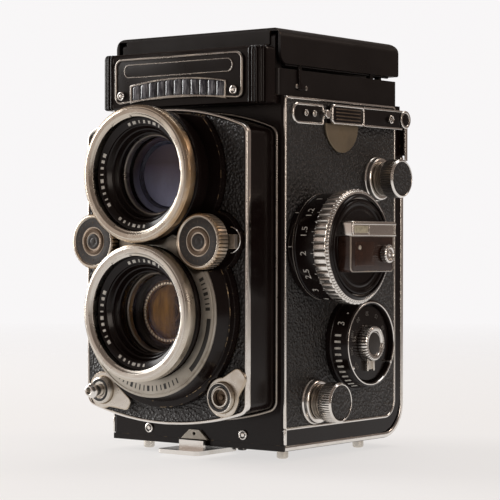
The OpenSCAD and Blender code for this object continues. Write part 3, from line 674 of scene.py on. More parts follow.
def bar(width, height):
    """A flat bar, centred like a numeral."""
    w, h, t = width / 2, height / 2, MARK_T
    low = [(-w, -h, -t), (w, -h, -t), (w, h, -t), (-w, h, -t)]
    high = [(x, y, t) for x, y, _ in low]
    return loft([low, high], caps=True)


def on_drum(shape, axis, centre, radius, angle, along, lying=False):
    """Lays a mark on a drum: its width runs along the axis and its height round the drum. A lying
    mark is turned a quarter, its top towards the low end of the axis."""
    def change(u, v, w):
        if lying:
            u, v = -v, u
        turn = angle - v / radius
        r = radius + w
        return at_axis(axis, along + u, centre[0] + r * math.cos(turn), centre[1] + r * math.sin(turn))
    return moved(shape, change)


def on_face(shape, axis, centre, radius, angle, along, out=-1.0, slope=0.0):
    """Lays a mark on a disc's face, its top outwards. slope tips it back as its radius grows."""
    def change(u, v, w):
        r = radius + v
        turn = angle + out * u / r
        return at_axis(axis, along + out * w + slope * v, centre[0] + r * math.cos(turn),
                       centre[1] + r * math.sin(turn))
    return moved(shape, change)


# ---- body ----
def side_outline(grow):
    """The leather panel on each side, in y and z."""
    return rect(1.2 - grow, 11.7 - grow, 67.1 + grow, 122.8 + grow, 0.4 + grow, 5.5 + grow, 0.4 + grow)


BOARD = span("board_bead")
LOW_BOW, HIGH_BOW = 114.7, 95.6


def board_outline(inset):
    """The lens board, bowed at the top and bottom, in x and z."""
    half, low, high = BOARD[1].x - inset, BOARD[0].z, BOARD[1].z
    reach, radius, bows = half - 4.5, 4 - inset, 12

    def bottom(x):
        return low + LOW_BOW - math.sqrt((LOW_BOW - inset) ** 2 - x * x)

    def top(x):
        return high - HIGH_BOW + math.sqrt((HIGH_BOW - inset) ** 2 - x * x)

    spots = [reach * i / bows for i in range(-bows, bows + 1)]
    corners = [(x, bottom(x), 0) for x in spots]
    corners += [(half, bottom(half), radius), (half, top(half), radius)]
    corners += [(x, top(x), 0) for x in reversed(spots)]
    corners += [(-half, top(half), radius), (-half, bottom(half), radius)]
    return rounded(corners)


CASE = span("body_casting")
SKIN_X = span("side_leathers")[1].x
BEAD_X = CASE[1].x + 0.6


def domed_bead(half, low, high):
    """A bead's section: a flat foot at low and a round top at high, half wide each way."""
    top = [(half * math.cos(t), (low + high) / 2 + (high - low) / 2 * math.sin(t))
           for t in (math.pi * s / 6 for s in range(7))]
    return top + [(-half, low), (half, low)]


def front_bead(path, y, half, low, high):
    """A domed bead along an outline, its dome towards the front; low and high count forwards from y."""
    return swept("y", path, [(out, y - along) for out, along in domed_bead(half, low, high)])


def make_body():
    """The casting, its leather and its bright edges, and what stays as the CAD has it inside."""
    refined("body_casting", "enamel", 0.35)
    piece("side_leather_panels", both(plate("x", side_outline(-0.05), CASE[1].x - 0.5, SKIN_X, 0.15)),
          "leather", node="side_leathers")
    side = swept("x", side_outline(0.5), domed_bead(0.5, CASE[1].x - 0.2, BEAD_X))
    foot = plate("x", rect(0.2, 5.8, 1.2, 11.2, 0.2, steps=3), CASE[1].x - 0.2, BEAD_X, 0.25)
    piece("side_beads", both(joined(side, foot)), "chrome", node="case_beads")
    piece("front_bead", front_bead(board_outline(0.5), 0.0, 0.5, -0.2, 0.6), "steel", node="case_beads")
    kept("inner_frame", "matt")
    kept("reflex_mirror", "mirror")
    kept("focusing_screen", "screen")
    refined("door_catch", "catch", 0.2)


def make_side_fittings():
    """Strap plates and door hinges: dark plates in bright frames, on both sides."""
    strap_low, strap_high = span("strap_plates")
    y0, y1, z0, z1 = strap_low.y, 22.0, strap_low.z, strap_high.z
    outline = rect(y0, z0, y1, z1, 3.3, 1.2, 1.2, 3.3)
    lift = SKIN_X + 1.0
    piece("strap_plate_beds", both(plate("x", grown(outline, -0.3), SKIN_X - 0.1, lift - 0.35, 0.1)),
          "satin", node="strap_plates")
    frame_bead = swept("x", grown(outline, -0.5), domed_bead(0.5, SKIN_X, lift))
    stud = spun("x", (21.0, 118.4), eased([(lift - 0.4, 0), (lift - 0.4, 1.6), (strap_high.x, 1.5),
                                           (strap_high.x, 0)], 0.3), 32)
    piece("strap_plate_frames", both(joined(frame_bead, stud)), "chrome", node="strap_plates")

    outer = span("hinge_brackets")[1].x
    z0, z1, tail = 115.2, 122.2, (70.9, 119.0)
    block = rect(24.1, z0, 44.2, z1, 1.8, 1.6, 1.6, 1.8, steps=6)
    bar_path = rect(44.0, z0 + 0.3, 68.0, z1 - 0.3, 0.2, steps=3)
    half_disc = arc((33, 115.6), 10, 180, 360, 40)
    piece("hinge_half_discs", both(plate("x", half_disc, SKIN_X - 0.1, SKIN_X + 0.8, 0.2)), "khaki",
          node="hinge_brackets")
    beds = joined(plate("x", grown(block, -0.3), SKIN_X - 0.1, outer - 0.6, 0.2),
                  plate("x", bar_path, SKIN_X - 0.1, outer - 0.7, 0.2),
                  spun("x", tail, eased([(SKIN_X - 0.1, 0), (SKIN_X - 0.1, 3.0), (outer - 0.4, 2.9),
                                         (outer - 0.3, 0)], 0.2), 48))
    piece("hinge_beds", both(beds), "satin", node="hinge_brackets")
    lines, slats = [swept("x", grown(block, -0.45), domed_bead(0.45, outer - 0.9, outer))], []
    for z, y_from, y_to, half in ((z0 + 0.35, 44, 68.6, 0.35), (z1 - 0.35, 44, 68.6, 0.35),
                                  (117.0, 26.6, 41.8, 0.22), (118.2, 26.6, 41.8, 0.22),
                                  (119.4, 26.6, 41.8, 0.22), (120.6, 26.6, 41.8, 0.22)):
        strip = rect(y_from, z - half, y_to, z + half, 0.1, steps=2)
        shape = plate("x", strip, outer - 0.9, outer - 0.15, 0.15)
        (lines if half > 0.3 else slats).append(shape)
    lines.append(spun("x", tail, eased(shifted(outer, [(-0.6, 2.2), (-0.6, 3.3), (-0.1, 3.2), (0, 2.8),
                                                       (-0.1, 2.3)]), 0.15), 56))
    piece("hinge_frames", both(joined(*lines)), "chrome", node="hinge_brackets")
    piece("hinge_slats", both(joined(*slats)), "bronze", "body")


def cleared(centre, others):
    """Cuts a turned piece round centre back from other round parts, each (x, z, radius)."""
    def cut(along, radius, angle):
        deepest = 0.0
        for x, z, reach in others:
            gap = Vector((x - centre[0], z - centre[1]))
            turn = angle - math.atan2(gap.y, gap.x)
            sideways = gap.length * math.sin(turn)
            if abs(sideways) < reach and math.cos(turn) > 0:
                near = gap.length * math.cos(turn) - math.sqrt(reach ** 2 - sideways ** 2)
                deepest = max(deepest, radius - near)
        return deepest
    return cut


def loose_parts(node):
    """Lowest and highest corner of each separate solid of a CAD node, in bench millimetres."""
    work = bmesh.new()
    work.from_mesh(frame["nodes"][node].data)
    bmesh.ops.remove_doubles(work, verts=work.verts, dist=WELD)
    left, parts = set(work.verts), []
    for seed in list(work.verts):
        if seed not in left:
            continue
        left.discard(seed)
        found, queue = [], [seed]
        while queue:
            here = queue.pop()
            found.append((here.co - BENCH) / MM)
            for edge in here.link_edges:
                other = edge.other_vert(here)
                if other in left:
                    left.discard(other)
                    queue.append(other)
        low = Vector([min(p[i] for p in found) for i in range(3)])
        high = Vector([max(p[i] for p in found) for i in range(3)])
        parts.append((low, high))
    work.free()
    return parts


def make_screws():
    """Each screw: a bright ring round a dark well with a small domed head in it."""
    rings, wells = [], []
    for low, high in loose_parts("case_screws"):
        mid, size = (low + high) / 2, high - low
        if abs(size.x - size.z) < 0.2:
            axis, at, r, top, foot = "y", (mid.x, mid.z), size.x / 2, low.y, high.y
        else:
            outer = mid.x > 0
            axis, at, r = "x", (mid.y, mid.z), size.z / 2
            top, foot = (high.x, low.x) if outer else (low.x, high.x)
        way = 1.0 if top > foot else -1.0
        ring = eased([(foot, 0.5 * r), (foot, r), (top - 0.12 * way, r), (top, 0.86 * r), (top, 0.76 * r),
                      (top - 0.25 * way, 0.66 * r), (top - 0.25 * way, 0.5 * r)], 0.06)
        head = eased([(top - 0.3 * way, 0.0), (top - 0.3 * way, 0.44 * r), (top - 0.12 * way, 0.4 * r),
                      (top - 0.04 * way, 0.0)], 0.05)
        rings += [spun(axis, at, ring, 40), spun(axis, at, head, 32)]
        wells.append(spun(axis, at, [(foot, 0.0), (foot, 0.5 * r), (top - 0.22 * way, 0.68 * r),
                                     (top - 0.22 * way, 0.0)], 32))
    piece("case_screw_heads", joined(*rings), "chrome", node="case_screws")
    piece("case_screw_wells", joined(*wells), "ink", "body")


HOUSING = span("name_housing")
HOUSING_FRONT = HOUSING[0].y
PLATE_FRONT = span("name_plate")[0].y


def make_name_housing():
    """The housing over the lenses, its two front corners ribbed."""
    low, high = HOUSING
    back, half, corner = -2.2, high.x, 4.0
    ribs, pitch, rib_depth, stride = 5, 1.36, 0.55, 0.17
    start = half - 5.9
    edge = [Vector((start + stride * s, low.y)) for s in range(int((half - corner - start) / stride))]
    for t in (step * math.pi / 80 for step in range(41)):
        edge.append(Vector((half - corner + corner * math.sin(t), low.y + corner - corner * math.cos(t))))
    length, right = 0.0, []
    for i, here in enumerate(edge):
        length += (here - edge[i - 1]).length if i else 0.0
        way = (edge[min(i + 1, len(edge) - 1)] - edge[max(i - 1, 0)]).normalized()
        inwards = Vector((-way.y, way.x))
        valley = 1 - abs(math.sin(math.pi * length / pitch)) if length < ribs * pitch else 0.0
        right.append(here + inwards * rib_depth * valley ** 1.4)
    left = [Vector((-p.x, p.y)) for p in reversed(right)]
    path = right + [Vector((half, back)), Vector((-half, back))] + left
    levels = [(-0.5, low.z), (0.0, low.z + 0.5), (0.0, high.z - 1.5), (-0.15, high.z - 0.8),
              (-0.5, high.z - 0.25), (-1.0, high.z)]
    shell = loft([[at_axis("z", z, *p) for p in grown(path, out)] for out, z in levels], caps=True)
    tail = plate("y", rect(-half, 121, half, 124, 0.3, 0.3, 0.1, steps=2), back - 0.1, 0.0, 0.05)
    post = plate("y", rect(-20, 123, 20, 132, 0.3, 0.3, 0.6, steps=2), -2.3, -2, 0.1)
    piece("name_housing_shell", joined(shell, tail, post), "enamel", node="name_housing")


def make_name_plate():
    """The plate on the front of the housing and its bright edge."""
    high = span("name_plate")[1]
    wide, bow, steps = high.x, 1.4, 10
    spots = [wide * 0.84 * i / steps for i in range(-steps, steps + 1)]
    bottom = [(x, 123.9 - bow * (x / wide) ** 2, 0) for x in spots]
    corner_z = 123.9 - bow
    path = rounded(bottom + [(wide, corner_z, 2.6), (wide, high.z, 3), (-wide, high.z, 3),
                             (-wide, corner_z, 2.6)])
    panel = plate("y", grown(path, -0.5), HOUSING_FRONT - 0.25, HOUSING_FRONT + 0.3, 0.1)
    piece("name_panel", panel, "satin", node="name_plate")
    edge = front_bead(grown(path, -0.4), PLATE_FRONT + 0.35, 0.38, -0.4, 0.35)
    piece("name_frame", edge, "steel", node="name_plate")


def make_meter_window():
    """The meter's bowed window: a row of upright glass cells in a frame."""
    def floor_z(x):
        return 124.7 - x * x * 0.0034

    def roof_z(x):
        return 130.7 - x * x * 0.0041

    spots = [21.0 * i / 8 for i in range(-8, 9)]
    window = [Vector((x, floor_z(x))) for x in spots] + [Vector((x, roof_z(x))) for x in reversed(spots)]
    piece("window_frame", front_bead(window, PLATE_FRONT + 0.3, 0.35, -0.3, 0.3), "steel", node="name_plate")
    cells, count, width, gap, bulge, steps = [], 11, 3.74, 0.08, 0.5, 8
    foot = HOUSING_FRONT + 0.3
    for i in range(count):
        left = (i - count / 2) * width
        rings = []
        for u in (s / steps for s in range(steps + 1)):
            x = left + gap + (width - 2 * gap) * u
            swell = math.sqrt(max(0.0, 1 - (2 * u - 1) ** 2))
            z0, z1 = floor_z(x) + 0.25, roof_z(x) - 0.25
            ring = []
            for v in range(steps + 1):
                ease = min(1.0, 2.6 * math.sin(math.pi * v / steps) + 0.25)
                ring.append((x, HOUSING_FRONT - 0.12 - bulge * swell * ease, z0 + (z1 - z0) * v / steps))
            rings.append(ring + [(x, foot, z1), (x, foot, z0)])
        cells.append(loft(rings, caps=True))
    # The lenslet look paints pale upright streaks in as reflections.
    piece("meter_lenslets", joined(*cells), "lenslet", node="meter_window", sharp=50)


def make_name_blank():
    """A blank cartouche where the camera's name would be."""
    blank = rect(-24, 132.0, 24, 136.4, 2.1)
    piece("name_blank", plate("y", blank, HOUSING_FRONT - 0.45, HOUSING_FRONT, 0.15), "satin", "body")
    piece("name_blank_edge", front_bead(blank, HOUSING_FRONT - 0.3, 0.22, -0.2, 0.28), "steel", "body")


def make_hood():
    """The folding hood: base, lid, leaves and magnifier, and the catch on its side."""
    refined("hood_base", "satin", 0.45, 3)
    refined("hood_lid", "satin", 0.4, 3)
    for leaf in ("hood_leaf_right", "hood_leaf_left", "hood_leaf_rear"):
        refined(leaf, "satin", 0.12)
    refined("magnifier_frame", "steel", 0.15)
    lens = middle("magnifier_lens")
    low, high = span("magnifier_lens")
    r, thick = high.x, high.z - low.z
    dome = [(lens.z + thick / 2 * (1 - (s / 10) ** 2) + 0.02, r * s / 10) for s in range(11)]
    under = [(2 * lens.z - a, b) for a, b in reversed(dome)]
    glass = piece("magnifier_glass", spun("z", (lens.x, lens.y), dome + under, 72), "window",
                  node="magnifier_lens")
    glass.visible_shadow = False
    blade = rounded([(8.6, 126.2, 0.3), (10.0, 126.0, 0.3), (13.2, 126.4, 0.5), (13.0, 127.6, 0.4),
                     (10.6, 128.6, 0.6), (9.9, 133.0, 0.5), (8.8, 133.4, 0.4), (9.2, 129.0, 0.5)], 4)
    side_x = span("hood_base")[1].x
    rivets = [spun("x", at, eased(shifted(side_x, [(-0.2, 0), (-0.2, 0.8), (0.5, 0.8), (0.6, 0)]), 0.2), 20)
              for at in ((8.4, 127.4), (13.8, 127.0))]
    piece("hood_catch", plate("x", blade, side_x - 0.1, side_x + 0.8, 0.2), "enamel", "body")
    piece("hood_catch_rivets", joined(*rivets), "steel", "body")


# ---- lens standard ----
def make_lens_board():
    """The lens standard's front, its leather, and the bright lines round it."""
    refined("lens_board", "enamel", 0.3)
    refined("board_leather", "leather", 0.1)
    top, foot = BOARD[0].y, BOARD[1].y
    section = eased([(0.6, foot), (0.6, top + 0.5), (0.25, top), (-0.25, top), (-0.6, top + 0.5),
                     (-0.6, foot)], 0.3)
    piece("board_edge", swept("y", board_outline(0.6), section), "chrome", node="board_bead")
    pod = arc((30.2, 75), 4.35, -84, 84, 24)
    wire = [(0.22 * math.cos(TURN * s / 8), -19.62 + 0.22 * math.sin(TURN * s / 8)) for s in range(8)]
    piece("timer_pod_edge", swept("y", pod, wire, open_ends=True), "chrome", "lens_standard")


def rubbed(centre, start, behind=math.inf):
    """Wear for a part turned round y: none inside radius start, full 0.7 mm further out, none behind."""
    def wear(x, y, z):
        return (math.hypot(x - centre[0], z - centre[1]) - start) / 0.7 if y < behind else 0.0
    return wear


def bayonet(along, radius, angle):
    """Three gaps in the bayonet's inner lip."""
    gap = math.cos(3 * angle + 0.6) > 0.8
    return -1.0 if gap and radius < 19.5 and along < RIM_FRONT + 1.3 else 0.0


RIM = span("viewing_rim")
RIM_FRONT, RIM_BACK, RIM_R = RIM[0].y, RIM[1].y, RIM[1].x
BORE_R = 19.3
FLANGE = -19.6


def make_rims():
    """Each lens from outside in: bayonet ring, barrel, name ring and retaining ring."""
    back = [(RIM_BACK, BORE_R + 0.5), (RIM_BACK, RIM_R - 0.5), (RIM_BACK - 0.5, RIM_R)]
    front = shifted(RIM_FRONT, [
        (1.7, RIM_R), (1.5, RIM_R - 0.3), (1.2, RIM_R - 0.3), (1.0, RIM_R), (0.9, RIM_R), (0.25, RIM_R - 0.7),
        (0.3, RIM_R - 1.0), (0, RIM_R - 1.3), (0.1, BORE_R + 1.1), (0.7, BORE_R + 0.6), (0.9, BORE_R),
        (1.5, BORE_R), (1.6, BORE_R + 0.6),
    ])
    outline = eased(back + front, 0.16)
    for name, look in (("viewing", "brassy"), ("taking", "nickel")):
        centre = (0.0, LENS_Z[name])
        piece(name + "_rim_ring", spun("y", centre, outline, 144, bayonet, 0.55), look, node=name + "_rim",
              wear=rubbed(centre, RIM_R - 1.1))
        barrel = eased([(RIM_BACK, 18.6), (-23.5, 14.0), (-8, 14.0), (-8, 18.0), (FLANGE - 0.05, 18.0),
                        (FLANGE - 0.05, 21.4), (FLANGE - 1.5, 21.4), (FLANGE - 1.5, 22.0), (-24.0, 22.0),
                        (-24.2, 22.4), (-26.6, 22.4), (-26.8, 21.9), (-27.2, 21.9), (-27.4, 22.4),
                        (RIM_BACK, 22.4)], 0.12)
        piece(name + "_barrel_turned", spun("y", centre, barrel, 120), "enamel", node=name + "_barrel")
        steps = [(-29.0, 16.7), (-28.4, 16.6), (-28.2, 16.3), (-26.6, 15.5), (-26.4, 15.1), (-26.0, 15.0),
                 (-24.6, 14.3), (-24.4, 13.9), (-23.3, 13.7)]
        funnel = [(-28.4, 19.1), (-29.9, 19.1), (-29.75, 18.6)] + steps + [(-23.3, 14.0), (-28.4, 18.5)]
        piece(name + "_name_ring", spun("y", centre, eased(funnel, 0.08), 120), "enamel", "lens_standard")
        cell_front = -22.2 if name == "viewing" else -20.4
        retaining = eased(shifted(cell_front, [(0, 14.0), (-0.5, 13.9), (-0.6, 13.3), (0, 13.0),
                                               (1.6, 12.9), (1.6, 14.0)]), 0.1)
        piece(name + "_retaining_ring", spun("y", centre, retaining, 96), "steel", "lens_standard")


def make_name_ring_marks():
    """Short bars round each name ring, in uneven groups, in place of its lettering."""
    slope = (-29.75 + 29.0) / (18.6 - 16.7)
    for name in LENS_Z:
        bars = []
        for group, (start, count) in enumerate(((64, 7), (158, 9), (238, 6), (318, 6))):
            for i in range(count):
                wide = 0.5 + 0.28 * ((i * 7 + group * 3) % 4)
                angle = math.radians(start + i * 7.2)
                bars.append(on_face(bar(wide, 1.0), "y", (0.0, LENS_Z[name]), 17.65, angle, -29.42,
                                    slope=slope))
        piece(name + "_ring_marks", joined(*bars), "paint", "lens_standard")


def make_glass():
    """The glass of both lenses and what is seen through it."""
    for name, vertex, dome, inner, rear, look in (("viewing", -22.6, 34.0, -13.0, 3.5, "view_glass"),
                                                  ("taking", -20.6, 40.0, -11.6, 3.0, "take_glass")):
        centre = (0.0, LENS_Z[name])
        elements = []
        for front, bend, thick in ((vertex, dome, 5.0), (inner, 60.0, rear)):
            reach = 13.75
            rows = [reach * s / 24 for s in range(25)]
            face = [(front + bend - math.sqrt(bend * bend - r * r), r) for r in rows]
            elements.append(spun("y", centre, face + [(front + thick, reach), (front + thick, 0.0)], 96))
        glass = piece(name + "_elements", joined(*elements), look, node=name + "_lens", sharp=50)
        glass.visible_shadow = False
    centre = (0.0, LENS_Z["viewing"])
    # A disc behind the glass, painted as a reflection: brown above and slate blue below.
    deep = [(-14.4 + 0.004 * r * r, r) for r in (10.0 * s / 16 for s in range(17))]
    piece("viewing_rear_group", spun("y", centre, deep + [(-13.4, 10.0), (-13.4, 0.0)], 96), "twilight",
          "lens_standard")
    well = eased([(-18.4, 13.2), (-17.6, 12.9), (-17.0, 12.9), (-14.9, 11.3), (-14.8, 10.5), (-14.3, 9.9),
                  (-13.6, 9.9), (-13.6, 13.8), (-18.4, 13.8)], 0.1)
    piece("viewing_inner_collar", spun("y", centre, well, 96), "enamel", "lens_standard")
    # The inner cone wears the same painted reflection.
    cone = eased([(-17.2, 12.2), (-17.1, 12.8), (-15.0, 11.6), (-15.2, 11.0)], 0.1)
    piece("viewing_inner_cone", spun("y", centre, cone, 96), "twilight", "lens_standard")
    centre = (0.0, LENS_Z["taking"])
    kept("shutter_blades", "blades")
    # A dish behind the shutter, bright amber towards one side as a painted glow.
    dish = [(-12.75 + 0.006 * r * r, r) for r in (9.2 * s / 16 for s in range(17))]
    piece("taking_rear_group", spun("y", centre, dish + [(-12.0, 9.2), (-12.0, 0.0)], 96), "amber",
          "lens_standard")
    toothed = eased([(-14.05, 9.0), (-14.5, 9.1), (-14.5, 9.9), (-14.05, 10.1)], 0.08)
    piece("iris_ring", spun("y", centre, toothed, 288, knurl(48, 9.05, 0.5), 0.22), "worn", "lens_standard")
    collar = eased([(-14.05, 10.4), (-14.8, 10.4), (-14.9, 11.0), (-15.4, 11.1), (-15.5, 11.8),
                    (-16.2, 11.9), (-16.3, 13.0), (-14.05, 13.0)], 0.1)
    piece("taking_inner_collar", spun("y", centre, collar, 96), "enamel", "lens_standard")


def make_shutter_ring():
    """The plate round the taking lens, cut clear of its neighbours, with scales in place of words."""
    low, high = span("shutter_ring")
    centre, outer, front, back = (0.0, LENS_Z["taking"]), high.x, low.y, high.y
    bore, r = 22.6, high.x - 1.3
    ring = eased([(back, bore), (front + 0.1, bore), (front, bore + 0.2), (front, r),
                  (front + 0.2, r + 0.1), (front + 0.2, r + 0.4), (front, r + 0.5), (front, outer - 0.3),
                  (front + 0.25, outer), (back, outer)], 0.06)
    hubs = []
    for node in ("aperture_wheel", "speed_wheel"):
        hub = middle(node)
        hubs.append((hub.x, hub.z, span(node)[1].z - hub.z + 0.55))
    hubs.append((0.0, LENS_Z["viewing"], 22.85))
    piece("shutter_ring_turned", spun("y", centre, ring, 288, cleared(centre, hubs)), "catch",
          node="shutter_ring")
    marks = []
    for start, stop, step, wide_every in ((-124, -58, 4.2, 4), (4, 27, 3.8, 3), (154, 172, 3.8, 3)):
        for k in range(int((stop - start) / step) + 1):
            wide, tall = 0.5 if k % wide_every else 1.1, 1.9
            marks.append(on_face(bar(wide, tall), "y", centre, 25.6, math.radians(start + k * step),
                                 front + 0.03))
    bands = []
    for start, stop in ((-46, -3), (183, 226)):
        path = arc(centre, 26.9, start, stop, 20) + arc(centre, 25.2, start, stop, 20)[::-1]
        bands.append(plate("y", path, front - 0.02, front + 0.3, 0.05))
    piece("shutter_ring_marks", joined(*marks, *bands), "ink", "lens_standard")


def make_wheels():
    """The aperture and shutter speed wheels: knurled rim, ribbed face, ring and cap."""
    for node in ("aperture_wheel", "speed_wheel"):
        low, high, centre = round_part(node, "y")
        r, front, back = 9.4, low.y, -22.9
        hub = eased([(high.y, 0), (high.y, 2.0), (back, 2.0), (back, r - 0.5), (back - 0.4, r),
                     (front + 0.55, r), (front + 0.1, r - 0.5), (front, r - 0.8), (front, r - 1.1),
                     (front + 0.5, r - 1.4), (front + 0.6, 0)], 0.1)
        piece(node + "_rim", spun("y", centre, hub, 360, knurl(45, r - 0.3, 0.4), 0.38), "brassy",
              node=node, wear=rubbed(centre, 8.5, front + 0.7))
        face = eased(shifted(front, [(0.7, 7.9), (0.35, 7.9), (0.5, 5.0), (0.7, 5.0)]), 0.08)
        piece(node + "_face", spun("y", centre, face, 96), "rubber", node)
        ring = eased(shifted(front, [(0.7, 4.6), (0.2, 4.55), (0.1, 3.9), (0.25, 3.2), (0.7, 3.1)]), 0.1)
        piece(node + "_ring", spun("y", centre, ring, 72), "bronze", node)
        cap = eased(shifted(front, [(0.7, 2.7), (0.4, 2.6), (0.3, 2.0), (0.45, 1.2), (0.3, 0.8),
                                    (0.25, 0.0)]), 0.1)
        piece(node + "_cap", spun("y", centre, [(front + 0.7, 0.0)] + cap, 48), "rubber", node)
        ticks = [on_face(bar(0.14, 0.5 if k % 3 else 1.0), "y", centre, 6.5, TURN * k / 24, front + 0.4)
                 for k in range(24)]
        piece(node + "_ticks", joined(*ticks), "bronze", node)


def make_front_controls():
    """Shutter release, flash socket, their locking levers and the self-timer."""
    low, high, at = round_part("release_collar", "y")
    front, board = low.y, high.y
    collar = eased([(board, 2.1), (board, 5.2), (board - 0.5, 5.2), (board - 0.5, 4.6), (front + 0.7, 4.6),
                    (front + 0.6, 4.3), (front + 0.3, 4.3), (front, 3.9), (front, 3.2), (front + 0.4, 2.9),
                    (front + 0.4, 2.1)], 0.12)
    piece("release_collar_turned", spun("y", at, collar, 64), "nickel", node="release_collar")
    ring = eased(shifted(front, [(0.35, 2.95), (-0.1, 3.0), (-0.1, 3.9), (0.35, 4.0)]), 0.1)
    piece("release_collar_ring", spun("y", at, ring, 48), "ink", "lens_standard")
    low, high = span("release_button")
    button = eased([(high.y, 0), (high.y, 2.0), (low.y + 2.6, 2.0), (low.y + 2.3, 2.5), (low.y + 1.6, 2.6),
                    (low.y + 1.3, 2.2), (low.y + 0.2, 1.9), (low.y, 1.6), (low.y, 1.3), (low.y + 0.4, 1.1),
                    (low.y + 4.0, 1.1), (low.y + 4.0, 0)], 0.12)
    piece("release_button_turned", spun("y", at, button, 64), "chrome", node="release_button")
    low, high, at = round_part("flash_socket", "y")
    front, board = low.y, high.y
    socket = eased([(-17.8, 0), (-17.8, 3.5), (front + 0.9, 3.5), (front + 0.8, 3.9), (front + 0.5, 4.0),
                    (front + 0.5, 4.5), (front, 4.7), (front, 5.0), (front + 0.2, 5.1), (board - 0.5, 5.1),
                    (board - 0.5, 5.7), (board, 5.7), (board, 0)], 0.1)
    piece("flash_socket_turned", spun("y", at, socket, 72), "nickel", node="flash_socket")
    ring = eased(shifted(front, [(0.6, 3.75), (0.1, 3.8), (0.05, 4.65), (0.6, 4.7)]), 0.08)
    piece("flash_socket_black_ring", spun("y", at, ring, 64), "ink", "lens_standard")
    tube = eased([(-17.8, 3.3), (-20.1, 3.3), (-20.2, 2.8), (-17.8, 2.7)], 0.1)
    disc = [(-17.9, 0), (-17.9, 2.6), (-18.4, 2.5), (-18.4, 1.0), (-19.4, 0.9), (-19.5, 0)]
    piece("flash_socket_tube", spun("y", at, tube, 56), "nickel", "lens_standard")
    piece("flash_socket_core", spun("y", at, eased(disc, 0.15), 48), "bronze", "lens_standard")
    refined("release_lock", "worn", 0.4, 3)
    refined("flash_lock", "worn", 0.4, 3)
    refined("timer_lever", "steel", 0.2, 3)


# ---- right side ----
FOCUS = span("focus_ring")
FOCUS_AT = ((FOCUS[0].y + FOCUS[1].y) / 2, (FOCUS[0].z + FOCUS[1].z) / 2)


def make_focus_knob():
    """The focus knob: fixed collar, scale drum, ribbed grip and hub."""
    collar = eased([(SKIN_X, 11.1), (SKIN_X, 17.9), (40.6, 17.9), (40.6, 11.1)], 0.25)
    piece("focus_collar", spun("x", FOCUS_AT, collar, 128), "enamel", node="side_collars")
    drum = eased([(34.9, 8.1), (34.9, 11.0), (40.9, 11.0), (40.9, 18.0), (41.2, 18.3), (41.8, 18.3),
                  (41.95, 18.05), (42.2, 18.05), (42.3, 18.3), (49.6, 18.3), (50.0, 17.9), (50.0, 8.1)], 0.12)
    piece("focus_drum", spun("x", FOCUS_AT, drum, 160), "enamel", node="focus_scale")
    line = eased([(40.85, 17.6), (40.8, 18.25), (41.1, 18.36), (41.15, 18.0)], 0.1)
    piece("focus_drum_edge", spun("x", FOCUS_AT, line, 128), "steel", "focus_knob")
    count, r = 50, FOCUS[1].z - FOCUS_AT[1]
    grip = eased([(50.05, 8.1), (50.05, r - 0.5), (50.4, r), (54.7, r), (55.0, r - 0.4), (55.0, 8.1)], 0.12)
    ribs = spun("x", FOCUS_AT, grip, count * 8, knurl(count, r - 0.25, 0.42), 0.6)
    piece("focus_grip", ribs, "chrome", node="focus_ring")
    beads = spun("x", FOCUS_AT, eased([(54.8, r - 1.7), (54.8, r - 0.7), (55.3, r - 0.45), (55.8, r - 0.9),
                                       (55.9, r - 1.5)], 0.12), 100 * 6, knurl(100, r - 1.2, 0.5), 0.16)
    piece("focus_grip_beading", beads, "chrome", "focus_knob")
    face = eased([(54.6, r - 1.45), (55.8, r - 1.45), (56.2, 17.6), (56.5, 17.45), (56.6, 17.0),
                  (56.3, 16.7), (53.1, 16.7), (53.1, 17.0)], 0.12)
    piece("focus_face_ring", spun("x", FOCUS_AT, face, 144), "enamel", node="focus_ring")
    hub = eased([(33.2, 0), (33.2, 8.0), (54.2, 8.0), (54.2, 16.3), (56.0, 16.3), (56.5, 15.9),
                 (56.5, 15.1), (56.0, 14.7), (55.8, 13.8), (56.0, 13.3), (56.0, 12.7), (55.7, 12.4),
                 (55.7, 0)], 0.15)
    piece("focus_hub_turned", spun("x", FOCUS_AT, hub, 144), "enamel", node="focus_hub")
    web = plate("x", rect(16.4, 73, 22, 79.4, 0.2, steps=2), 33.2, 34.5)
    piece("focus_hub_web", web, "matt", "body")
    marks = []
    for k, text in enumerate(("1", "1.2", "1.5", "2", "2.5", "3", "4", "5", "7", "10")):
        angle = math.radians(118 + 23 * k)
        marks.append(on_drum(numeral(text, 3.3), "x", FOCUS_AT, 18.3, angle, 45.4, lying=True))
        marks.append(on_drum(bar(0.9, 0.22), "x", FOCUS_AT, 18.3, angle, 48.9))
        marks.append(on_drum(bar(0.5, 0.18), "x", FOCUS_AT, 18.3, angle + math.radians(11.5), 49.1))
    piece("focus_scale_marks", joined(*marks), "paint", "focus_knob", sharp=60)
    index = [on_drum(bar(1.4, 0.3), "x", FOCUS_AT, 17.9, math.radians(a), 39.6) for a in (140, 180)]
    piece("focus_index_marks", joined(*index), "paint", "body")


